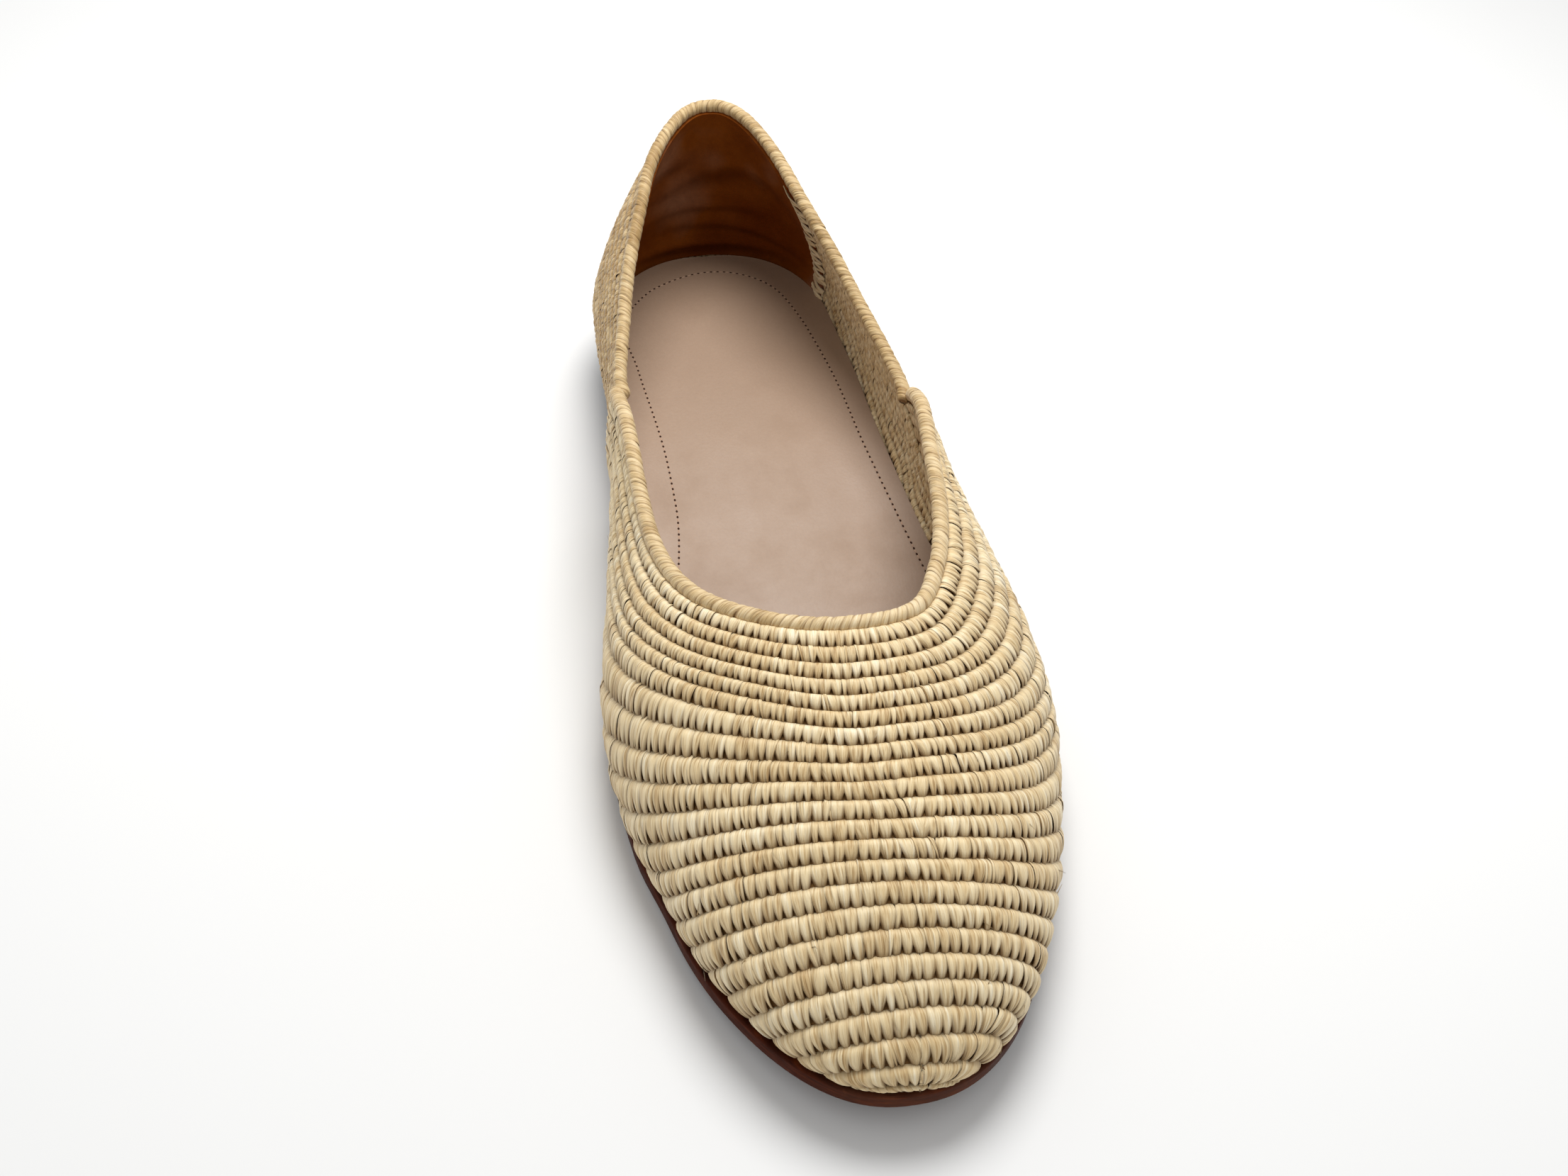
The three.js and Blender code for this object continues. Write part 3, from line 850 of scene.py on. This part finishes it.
def raffia(name, tones, painted_shade):
    """Flat leaf strands: fibres along each strand, its own tone, and painted shade towards the
    grooves.
    """
    nodes = Nodes(name, Specular_IOR_Level=0.35, Sheen_Weight=0.12, Sheen_Roughness=0.5)
    parts = nodes.strand()
    uv = nodes.add("UVMap", uv_map="UVMap").outputs["UV"]
    place = nodes.add("SeparateXYZ", {"Vector": uv}).outputs
    seed = nodes.maths("MULTIPLY", parts["Blue"], 60.0)

    def fibres(across, along, detail):
        over = nodes.maths("ADD", nodes.maths("MULTIPLY", place["X"], across), seed)
        run = nodes.maths("MULTIPLY", place["Y"], along)
        vector = nodes.add("CombineXYZ", {"X": over, "Y": run, "Z": seed}).outputs[0]
        return nodes.noise(vector, 1.0, detail)

    broad = fibres(1.1, 0.6, 2.0)
    fine = fibres(3.2, 0.9, 3.0)
    hair = fibres(8.0, 1.4, 2.0)
    tone = parts["Red"]
    for pattern, much in ((broad, 0.14), (fine, 0.2), (hair, 0.12)):
        tone = nodes.maths("ADD", tone, nodes.swing(pattern, -much, much))
    base = nodes.ramp(tone, tones)
    base = nodes.mix(nodes.span(fine, 0.3, 0.44, 0.45, 0.0), base, (150, 112, 64))
    # Painted shade: turned towards the shade colour where the strand colour's shade part is high, in
    # the grooves, at the tips, between strands and in the folds.
    base = nodes.mix(nodes.span(parts["Green"], 0.12, 0.9, 0.0, 0.95), base, painted_shade)
    rough = nodes.swing(fine, 0.42, 0.62)
    relief = nodes.bump(broad, 0.7, 0.0005)
    relief = nodes.bump(fine, 0.8, 0.0004, relief)
    return nodes.finish(base, rough, relief)


def raffia_core():
    """The ground between and under the strands, coloured dark brown as painted shade."""
    nodes = Nodes("raffia_ground_painted_shade", Specular_IOR_Level=0.2, Roughness=0.8)
    place = nodes.place()
    grain = nodes.noise(place, 900.0, 4.0)
    base = nodes.ramp(grain, [(0.3, (86, 57, 25)), (0.7, (126, 90, 46))])
    return nodes.finish(base, None, nodes.bump(grain, 0.4, 0.0004))


def suede():
    nodes = Nodes("brown_suede", Specular_IOR_Level=0.06, Sheen_Weight=0.12, Sheen_Roughness=0.4,
                  Sheen_Tint=colour(186, 120, 80))
    parts = nodes.strand()
    place = nodes.place()
    nap = nodes.noise(place, 38.0, 2.0)
    mottle = nodes.noise(place, 140.0, 4.0, 0.6)
    fine = nodes.noise(place, 2600.0, 3.0)
    base = nodes.ramp(nap, [(0.36, (114, 54, 9)), (0.52, (138, 74, 20)),
                            (0.68, (160, 112, 82))])
    base = nodes.mix(nodes.swing(mottle, 0.0, 0.5), base, (88, 34, 4))
    # Painted shade under the creases, from the strand colour's shade part.
    base = nodes.mix(nodes.span(parts["Green"], 0.0, 1.0, 0.0, 0.6), base, (56, 20, 2))
    rough = nodes.swing(nap, 0.95, 0.75)
    relief = nodes.bump(fine, 0.35, 0.00025, nodes.bump(mottle, 0.3, 0.0006))
    return nodes.finish(base, rough, relief)


def insole_leather():
    nodes = Nodes("insole_leather", Specular_IOR_Level=0.4, Coat_Weight=0.08, Coat_Roughness=0.4)
    place = nodes.place()
    cloud = nodes.noise(place, 16.0, 3.0)
    smudge = nodes.noise(place, 70.0, 4.0, 0.6)
    grain = nodes.add("TexVoronoi", {"Vector": place, "Scale": 1500.0}).outputs["Distance"]
    fine = nodes.noise(place, 1200.0, 4.0)
    base = nodes.ramp(cloud, [(0.3, (156, 129, 106)), (0.7, (166, 139, 116))])
    base = nodes.mix(nodes.span(smudge, 0.5, 0.78, 0.0, 0.3), base, (146, 119, 96))
    base = nodes.mix(nodes.span(fine, 0.35, 0.65, 0.12, 0.0), base, (140, 112, 90))
    rough = nodes.swing(smudge, 0.44, 0.58)
    relief = nodes.bump(grain, 0.12, 0.0002, nodes.bump(fine, 0.12, 0.0002))
    return nodes.finish(base, rough, relief)


def sole_leather():
    nodes = Nodes("sole_leather", Specular_IOR_Level=0.06, Coat_Weight=0.01, Coat_Roughness=0.3)
    place = nodes.place()
    parts = nodes.strand()
    stretched = nodes.add("Mapping", {"Vector": place, "Scale": (1.0, 1.0, 9.0)}).outputs[0]
    layers = nodes.noise(stretched, 160.0, 4.0, 0.6)
    scuffs = nodes.noise(place, 260.0, 5.0, 0.65)
    base = nodes.ramp(layers, [(0.3, (44, 13, 2)), (0.55, (70, 25, 5)),
                               (0.75, (94, 42, 14))])
    base = nodes.mix(nodes.span(scuffs, 0.62, 0.76, 0.0, 0.3), base, (128, 74, 44))
    # Lighter at the toe tip, broken up by the scuffs: wear, and a painted highlight.
    wear_and_highlight = nodes.maths("MULTIPLY", parts["Green"], nodes.span(scuffs, 0.3, 0.6, 0.3, 1.0))
    base = nodes.mix(wear_and_highlight, base, (150, 104, 76))
    rough = nodes.swing(scuffs, 0.38, 0.6)
    relief = nodes.bump(layers, 0.2, 0.0003, nodes.bump(scuffs, 0.15, 0.0003))
    return nodes.finish(base, rough, relief)


def rubber():
    nodes = Nodes("heel_rubber", Specular_IOR_Level=0.4)
    place = nodes.place()
    grit = nodes.noise(place, 700.0, 4.0)
    scuffs = nodes.noise(place, 90.0, 5.0, 0.7)
    base = nodes.ramp(grit, [(0.3, (34, 38, 46)), (0.7, (52, 57, 67))])
    base = nodes.mix(nodes.span(scuffs, 0.55, 0.75, 0.0, 0.4), base, (92, 94, 98))
    return nodes.finish(base, nodes.swing(scuffs, 0.55, 0.75), nodes.bump(grit, 0.3, 0.0003))


def plain(name, shade, roughness):
    return Nodes(name, Roughness=roughness, Specular_IOR_Level=0.2,
                 Base_Color=colour(*shade)).material


# Each raffia's last colour is the painted shade for its grooves.
RAFFIA = raffia("raffia", RAFFIA_TONES, (112, 80, 38))
PALE_RAFFIA = raffia("pale_raffia", PALE_TONES, (134, 98, 54))
GROUND = raffia_core()
SUEDE = suede()
INSOLE_LEATHER = insole_leather()
SOLE_LEATHER = sole_leather()
RUBBER = rubber()
PINHOLE = plain("pinhole_shadow", (58, 34, 22), 0.9)
THREAD = plain("insole_thread", (186, 154, 130), 0.6)


def place_piece(pile, name, material, slot, *nodes):
    """A piece that rides on the one body, hiding the nodes that it stands for. Its slot is not used.
    """
    piece = pile.build(name, material)
    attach(piece, "root")
    if nodes:
        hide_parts(*nodes)


# The upper: two walls, and the strands along their rows

def build_walls():
    """The ground of the vamp and of the quarter, under their strands."""
    pile = Pile()
    rows = np.linspace(0, ROWS, 136)[:, None]
    shares = np.linspace(-1, 1, 121)
    inner = WALL - 0.3 * np.abs(np.sin(np.pi * rows))
    closed_wall(pile, vamp_point(rows, shares, VAMP_GROUND), vamp_point(rows, shares, inner))
    place_piece(pile, "vamp_wall", GROUND, "raffia", "upper")

    pile = Pile()
    ways = np.linspace(-1, 1, 141)
    stations = quarter_station(ways)
    tops = quarter_top(stations)
    heights = tops + (seat(stations) - tops) * np.linspace(0, 1, 40)[:, None]
    closed_wall(pile, quarter_at(stations, ways, heights, QUARTER_GROUND),
                quarter_at(stations, ways, heights, QUARTER_BACK))
    place_piece(pile, "quarter_wall", GROUND, "raffia")


# Spans of the vamp's rows: first row, row after, width of the strands, how flat the ends lie.
# The row after the last span is only a part of one.
VAMP_SPANS = [
    ("vamp_rows_collar", 0, 6, 1.8, 0.0),
    ("vamp_rows_instep", 6, 11, 2.0, 0.1),
    ("vamp_rows_ball", 11, 16, VAMP_STRAND, 0.4),
    ("vamp_rows_toe", 16, 22, VAMP_STRAND, 0.5),
]
LAST_ROW = 22
LAST_REACH = 0.4


def build_vamp_strands():
    random = np.random.default_rng(7)
    for name, first, after, width, settled in VAMP_SPANS:
        weave = Weave(vamp_point, width, VAMP_GROUND, VAMP_CREST, stitched=0.08, settled=settled,
                      low_tone=0.42, high_tone=0.72)
        pile = Pile()
        for row in range(first, after):
            strand_row(pile, weave, row, random)
        if after == LAST_ROW:
            strand_row(pile, weave, LAST_ROW, random, reach=LAST_REACH)
        place_piece(pile, name, RAFFIA, "raffia")
    weave = Weave(vamp_point, VAMP_STRAND, WALL - 0.1, 0.6, side=-1, across=5, along=6, taper=0.85)
    pile = Pile()
    for row in range(10):
        strand_row(pile, weave, row, random)
    place_piece(pile, "vamp_rows_inside", RAFFIA, "raffia")


def build_quarter_strands():
    random = np.random.default_rng(11)

    def keeper(row, outside):
        """Picks the strands of a row above the seat and, outside, those clear of the vamp."""
        def keep(way):
            station = quarter_station(way)
            tall = (quarter_top(station) - seat(station)) / QUARTER_ROW > row + 0.7
            return tall & (station < notch_at(way) + 0.03) if outside else tall
        return keep

    for name, side, ground, low in (("quarter_rows_outside", 1, QUARTER_GROUND, 0.02),
                                    ("quarter_rows_inside", -1, QUARTER_BACK, 0.4)):
        weave = Weave(quarter_point, QUARTER_STRAND, ground, QUARTER_CREST, side=side, across=7,
                      along=7, lean=0.2, taper=0.72, low_tone=low, high_tone=low + 0.28)
        pile = Pile()
        for row in range(15):
            strand_row(pile, weave, row, random, reach=1.06, keep=keeper(row, side > 0))
        place_piece(pile, name, RAFFIA, "raffia")


# The wrapped cords along the collar

def vamp_cord_path():
    shares = np.linspace(-1, 1, 241)
    edge = vamp_point(0.0, shares, CORD_DEPTH)
    back = vamp_point(0.0, np.maximum(shares - 0.02, -1), CORD_DEPTH)
    ahead = vamp_point(0.0, np.minimum(shares + 0.02, 1), CORD_DEPTH)
    station, across = vamp_place(0.0, shares)
    opening = unit(np.cross(unit(ahead - back), outward(station, across)))
    into = vamp_point(0.6, shares, CORD_DEPTH) - edge
    opening = np.where(((opening * into).sum(-1) > 0)[:, None], -opening, opening)
    return edge + opening * (VAMP_CORD / 2 - CORD_SINK)


def quarter_cord_path():
    """Along the quarter's top line, with its ends drawn in behind the vamp's corners."""
    ways = np.linspace(-1, 1, 281)
    notch = notch_at(ways)
    stations = (notch + CORD_PAST) * np.abs(ways) ** QUARTER_EASE
    heights = quarter_top(stations) + QUARTER_CORD / 2 - CORD_SINK
    drawn_in = CORD_DRAWN_IN * within(1 - (notch - stations) / 0.02) ** 2
    return quarter_at(stations, ways, heights, CORD_DEPTH + drawn_in)


def build_bindings():
    random = np.random.default_rng(23)
    for node, path, thick, low, high in (
            ("vamp_binding", vamp_cord_path(), VAMP_CORD, 0.3, 0.62),
            ("quarter_binding", quarter_cord_path(), QUARTER_CORD, 0.05, 0.4)):
        pile = Pile()
        binding(pile, path, thick / 2, random, low, high)
        place_piece(pile, node + "_strands", PALE_RAFFIA, "raffia_cord", node)


# The suede inside the back

LINING_FRONT = Curve([0.0, 0.5, 1.0], [0.130, 0.122, 0.108])

# Creases of the suede: place down it, bend, turn, depth, thinness and middle across the back
LINING_CREASES = [
    (0.20, 0.05, 2.2, 0.9, 0.08, -0.2),
    (0.40, 0.09, 3.1, 1.2, 0.09, 0.1),
    (0.58, -0.05, 2.4, 0.9, 0.06, -0.1),
    (0.74, 0.04, 2.6, 0.9, 0.05, 0.25),
    (0.88, 0.02, 3.4, 1.3, 0.045, 0.0),
]


def lining_point(drop, way, depth):
    """The lining: drop runs 0 at the top line to 1 at the insole, way -1 to 1 across the back."""
    station = LINING_FRONT(drop) * np.abs(way) ** QUARTER_EASE
    low = seat(station) + INSOLE * 0.6
    high = quarter_top(station) + 0.5
    height = high + (low - high) * drop
    return quarter_at(station, way, height, depth)


def build_lining():
    pile = Pile()
    drop = np.linspace(0, 1, 90)[:, None]
    way = np.linspace(-1, 1, 161)[None, :]
    soft = 0.5 * np.sin(way * 5.5 + 2.4 * np.sin(drop * 5)) * np.sin(drop * np.pi)
    crease = np.zeros_like(soft)
    for at, bend, turn, deep, thin, middle in LINING_CREASES:
        line = at + bend * np.sin(way * turn + 9 * at)
        fade = np.exp(-((way - middle) / 0.5) ** 2)
        crease = crease + deep * fade * np.exp(-((drop - line) / thin) ** 2)
    edge = within((1 - np.abs(way)) / 0.08) * within(drop / 0.08)
    lift = 0.7 + (soft + crease) * edge
    inner = lining_point(drop, way, QUARTER_WALL + 0.2 + lift)
    outer = lining_point(drop, way, QUARTER_WALL - 0.3)
    # Painted shade just under each crease, carried as the strand colour's shade part.
    below = within(np.roll(crease, 3, axis=0) - crease) * edge
    closed_wall(pile, outer, inner, spread(below.shape, 0.5, within(1.6 * below), 0.5))
    place_piece(pile, "heel_lining", SUEDE, "insole_leather")


def build_lining_stitches():
    """Raffia overcast in a zigzag along the lining's front edges."""
    random = np.random.default_rng(31)
    pile = Pile()
    v = np.linspace(0, 1, 10)
    for side in (-1.0, 1.0):
        for drop in np.linspace(0.06, 0.92, 13):
            drop = drop + random.uniform(-0.012, 0.012)
            fall = random.uniform(0.035, 0.055)
            back = 0.91 + random.uniform(-0.015, 0.01)
            front = 1.035 + random.uniform(-0.02, 0.02)
            for near, far, start, width in ((back, front, drop, random.uniform(1.2, 1.7)),
                                            (front, back, drop + fall, random.uniform(0.7, 1.1))):
                ways = side * (near + (far - near) * v)
                drops = np.clip(start + fall * v, 0.01, 0.99)
                over_edge = within((1.03 - np.abs(ways)) / 0.05)
                rise = 0.15 + 0.85 * over_edge + 0.3 * np.sin(np.pi * v)
                path = lining_point(drops, ways, QUARTER_WALL + rise)
                facing = path - lining_point(drops, ways, QUARTER_WALL + rise - 1.0)
                ribbon(pile, path, facing, width, random, 0.7)
    place_piece(pile, "lining_stitches", RAFFIA, "raffia_cord")


def build_seam_stitches():
    """Short strands over the vamp's back edges, where they are sewn to the quarter."""
    random = np.random.default_rng(37)
    pile = Pile()
    for side, rows in ((-1.0, 4.2), (1.0, 6.3)):
        for row in np.arange(0.35, rows, 0.42):
            v = np.linspace(0, 1, 8)
            station, across = vamp_place(row, side * 0.999)
            height = float(last(station, across)[2])
            if height < float(seat(station)) + 2.0:
                continue
            stations = float(station) + 0.016 - 0.030 * v
            slant = random.uniform(0.3, 1.6)
            depth = -0.55 * np.sin(np.pi * within(v * 1.05)) ** 0.6
            depth = depth + 0.3 + (QUARTER_STEP + 0.1) * within((v - 0.45) / 0.4)
            places = across_at(stations, side, height - slant * (v - 0.5))
            path = skin(stations, places, depth)
            ribbon(pile, path, outward(stations, places), random.uniform(1.3, 1.8), random, 0.5)
    place_piece(pile, "side_seam_stitches", RAFFIA, "raffia_cord")


def build_whiskers():
    """Loose fibre ends that stand off the weave here and there."""
    random = np.random.default_rng(41)
    pile = Pile()
    for _ in range(26):
        row = random.uniform(0.5, 21)
        share = random.uniform(-0.9, 0.9)
        v = np.linspace(0, 1, 9)
        length = random.uniform(1.2, 3.2)
        start = vamp_point(row, share, 0.2)
        station, across = vamp_place(row, share)
        normal = outward(station, across)
        drift = unit(np.cross(normal, random.normal(0, 1, 3)))
        lift = normal * (length * 0.35 * v ** 1.3)[:, None]
        path = start + lift + drift * (length * (v + 0.3 * v ** 2))[:, None]
        facing = np.broadcast_to(unit(np.cross(drift, normal)), path.shape)
        ribbon(pile, path, facing, random.uniform(0.14, 0.3), random, 0.5, 0.04, 0.85)
    place_piece(pile, "loose_fibres", RAFFIA, "raffia_cord")


# The soles

def insole_depth(station):
    return QUARTER_WALL + QUARTER_STEP * QUARTER_DEPTH["share"](station) + INSOLE_GAP


def inner_edge(station, side_of, rise, extra=0.0):
    """A line round the inside of the upper, as in the part's source, or further in."""
    inward = TUCK * tuck_share(rise) + insole_depth(station) + extra
    heel_end = TUCK + insole_depth(0.0) + extra - HEEL_REST
    toe_end = LENGTH - TUCK - insole_depth(1.0) - extra - HEEL_REST
    x = heel_end + (toe_end - heel_end) * station
    y = half_width(station, side_of) - inward * closing(station)
    level = seat((x + HEEL_REST) / LENGTH) + rise
    return np.stack([x, centre(station) + np.where(side_of < 0, -y, y), level], -1)


def insole_point(station, way, rise):
    station, way, rise = np.broadcast_arrays(station, way, rise)
    medial = inner_edge(station, -1, rise)
    lateral = inner_edge(station, 1, rise)
    return medial + (lateral - medial) * ((way + 1) / 2)[..., None]


def insole_rise(station, way):
    """Height of the insole's top over the seat: nearly flat, with its rim turned up."""
    return INSOLE + INSOLE_CUP * np.abs(way) ** 4 * closing(station)


def build_insole():
    pile = Pile()
    station = ((1 - np.cos(np.linspace(0, np.pi, 161))) / 2)[:, None]
    way = np.sin(np.linspace(-np.pi / 2, np.pi / 2, 61))[None, :]
    top = insole_point(station, way, insole_rise(station, way))
    under = insole_point(station, way, 0.2)
    closed_wall(pile, top, under)
    place_piece(pile, "insole_cover", INSOLE_LEATHER, "insole_leather", "insole")


# Distance of the seam inside the insole's edge, in millimetres
STITCH_INSET = table("station medial lateral", [
    (0.00, 7.4, 7.4),
    (0.03, 3.0, 6.0),
    (0.08, 2.8, 6.6),
    (0.17, 6.2, 5.2),
    (0.30, 8.6, 4.2),
    (0.45, 10.4, 3.4),
    (0.65, 11.0, 3.4),
    (1.00, 7.4, 7.4),
])
STITCH_PITCH = 1.8
SEAM_END = 0.6


def insole_top(points):
    """The same points, set down on the insole's top."""
    heel_end = float(inner_edge(0.0, 1.0, INSOLE)[0])
    toe_end = float(inner_edge(1.0, 1.0, INSOLE)[0])
    station = (points[:, 0] - heel_end) / (toe_end - heel_end)
    medial = inner_edge(station, -1, INSOLE)
    lateral = inner_edge(station, 1, INSOLE)
    way = 2 * (points[:, 1] - medial[:, 1]) / (lateral[:, 1] - medial[:, 1]) - 1
    height = medial[:, 2] - INSOLE + insole_rise(station, np.clip(way, -1, 1))
    return np.stack([points[:, 0], points[:, 1], height], -1)


def insole_seam():
    stations = SEAM_END * np.linspace(0, 1, 500) ** 1.6
    lines = []
    for side in (-1, 1):
        extra = by_side(STITCH_INSET, side, stations)
        line = inner_edge(stations, side, INSOLE, extra)
        line[:, 0] += (STITCH_INSET["medial"](0.0) - extra) * (1 - stations / SEAM_END)
        lines.append(line)
    return insole_top(np.concatenate([lines[0][::-1], lines[1][1:]]))


def build_insole_stitches():
    """A sunk seam round the insole: pinholes with short threads between them."""
    path = insole_seam()
    arc = arc_of(path)
    turn = np.linspace(0, 2 * np.pi, 9)
    ring = np.array([0.02, 0.55, 1.0])[:, None]
    holes, threads = Pile(), Pile()
    for start in np.arange(2.0, arc[-1] - 2.0, STITCH_PITCH):
        here = along_path(path, arc, start)
        forward = unit(along_path(path, arc, start + 0.4) - here)
        aside = unit(np.cross(ABOVE, forward))

        def oval(middle, long, wide, tall):
            out = forward * (np.cos(turn) * ring * long)[..., None]
            out = out + aside * (np.sin(turn) * ring * wide)[..., None]
            return middle + out + ABOVE * (tall * np.sqrt(1 - 0.95 * ring ** 2))[..., None]

        holes.add(oval(here + ABOVE * 0.03, 0.36, 0.27, 0.06))
        threads.add(oval(here + forward * STITCH_PITCH / 2 - ABOVE * 0.02, 0.5, 0.2, 0.12))
    place_piece(holes, "insole_pinholes", PINHOLE, "insole_leather")
    place_piece(threads, "insole_threads", THREAD, "insole_leather")


def sole_loop(inset, to, level_drop, count):
    """The sole's outline as medial and lateral lines of points from heel to toe."""
    eased = np.linspace(0, 1, count)
    eased = eased ** HEEL_EASE if to < 1 else (1 - np.cos(eased * np.pi)) / 2
    station = to * eased
    low = TUCK * SOLE_EDGE["inside"](0.0) + inset
    high = LENGTH - TUCK * SOLE_EDGE["inside"](1.0) - inset
    x = low + (high - low) * station - HEEL_REST
    inside = (TUCK * SOLE_EDGE["inside"](station) + inset) * closing(station)
    level = seat(station) - GAP - level_drop
    lines = []
    for side_of in (-1, 1):
        y = half_width(station, side_of) - inside
        lines.append(np.stack([x, centre(station) + side_of * y, level], -1))
    return lines, station


def ring_solid(pile, rings, strand=PLAIN_STRAND):
    """A solid through rings of a medial and a lateral line, from the top one down."""
    for side, flip in ((0, False), (1, True)):
        pile.add(np.stack([lines[side] for lines in rings]), strand=strand, flip=flip)
    pile.add(np.stack(rings[0]), flip=True)
    pile.add(np.stack(rings[-1]))


# Rings of the outsole: how far in and how far down. Rings of the heel: how far in, share of height
OUTSOLE_RINGS = [(1.4, 0.0), (0.5, 0.04), (0.12, 0.25), (0.0, 0.7), (0.05, 2.0),
                 (0.0, OUTSOLE - 0.7), (0.12, OUTSOLE - 0.25), (0.6, OUTSOLE - 0.02), (1.6, OUTSOLE)]
HEEL_RINGS = [(1.2, 1.0), (0.1, 0.985), (0.0, 0.90), (0.0, 0.12), (0.35, 0.03), (1.3, 0.0)]


def build_outsole():
    pile = Pile()
    rings = []
    for inset, drop in OUTSOLE_RINGS:
        lines, station = sole_loop(inset, 1, drop, 110)
        rings.append(lines)
    # The toe tip, marked for the sole leather's wear and painted highlight.
    wear_and_highlight = 0.12 * np.exp(-((station - 1.0) / 0.02) ** 2)
    ring_solid(pile, rings, spread(wear_and_highlight.shape, 0.5, wear_and_highlight, 0.5))
    place_piece(pile, "outsole_leather", SOLE_LEATHER, "sole_leather", "outsole")


def build_heel():
    pile = Pile()
    rings = []
    for inset, share in HEEL_RINGS:
        lines, _ = sole_loop(HEEL_INSET + inset, HEEL_LENGTH, OUTSOLE + GAP, 70)
        for line in lines:
            line[:, 2] *= share
        rings.append(lines)
    ring_solid(pile, rings)
    pile.add(np.stack([[medial[-1], lateral[-1]] for medial, lateral in rings]))
    place_piece(pile, "heel_block", RUBBER, "heel_rubber", "heel")


build_walls()
build_vamp_strands()
build_quarter_strands()
build_bindings()
build_lining()
build_lining_stitches()
build_seam_stitches()
build_whiskers()
build_insole()
build_insole_stitches()
build_outsole()
build_heel()


# Floor, light and camera

SKY_STRENGTH = 0.56
SOFTBOX_POWER = 3.2
SOFTBOX_SIZE = 0.34
SOFTBOX_AT = (-0.12, 0.06, 0.55)
SENSOR = 36.0
LENS = 40.4
CAMERA_AT = (0.3763, -0.0738, 0.3000)
CAMERA_YAW = -0.031
CAMERA_PITCH = 0.822
CAMERA_ROLL = -0.084
AIM = (0.110, -0.004, 0.022)
FLOOR_HALF = 3000.0


def build_floor():
    pile = Pile()
    pile.add(FLOOR_HALF * np.array([[[-1, -1, 0], [1, -1, 0]], [[-1, 1, 0], [1, 1, 0]]]), flip=True)
    pile.build("floor", plain("floor_paint", (236, 236, 235), 0.9))


def build_light():
    bpy.context.scene.view_settings.view_transform = "Standard"
    world = bpy.data.worlds.new("studio")
    bpy.context.scene.world = world
    world.use_nodes = True
    sky = world.node_tree.nodes["Background"]
    sky.inputs["Color"].default_value = (1.0, 1.0, 1.0, 1.0)
    sky.inputs["Strength"].default_value = SKY_STRENGTH
    data = bpy.data.lights.new("softbox", "AREA")
    data.shape = "DISK"
    data.size = SOFTBOX_SIZE
    data.energy = SOFTBOX_POWER
    light = add_object("softbox", data)
    light.location = SOFTBOX_AT
    light.rotation_euler = (Vector(AIM) - Vector(SOFTBOX_AT)).to_track_quat("-Z", "Y").to_euler()


def build_camera():
    """The photograph's camera, turned about its own place so that one shoe fills the frame."""
    forward = Vector((-np.cos(CAMERA_PITCH) * np.cos(CAMERA_YAW),
                      -np.cos(CAMERA_PITCH) * np.sin(CAMERA_YAW), -np.sin(CAMERA_PITCH)))
    right = forward.cross(Vector((0, 0, 1))).normalized()
    up = right.cross(forward)
    photo_up = up * np.cos(CAMERA_ROLL) - right * np.sin(CAMERA_ROLL)
    ahead = (Vector(AIM) - Vector(CAMERA_AT)).normalized()
    aside = ahead.cross(photo_up).normalized()
    over = aside.cross(ahead)
    data = bpy.data.cameras.new("camera")
    data.sensor_width = SENSOR
    data.lens = LENS
    data.clip_start = 0.01
    camera = add_object("camera", data)
    turn = Matrix((aside, over, -ahead)).transposed().to_4x4()
    camera.matrix_world = Matrix.Translation(CAMERA_AT) @ turn
    bpy.context.scene.camera = camera


build_floor()
build_light()
build_camera()
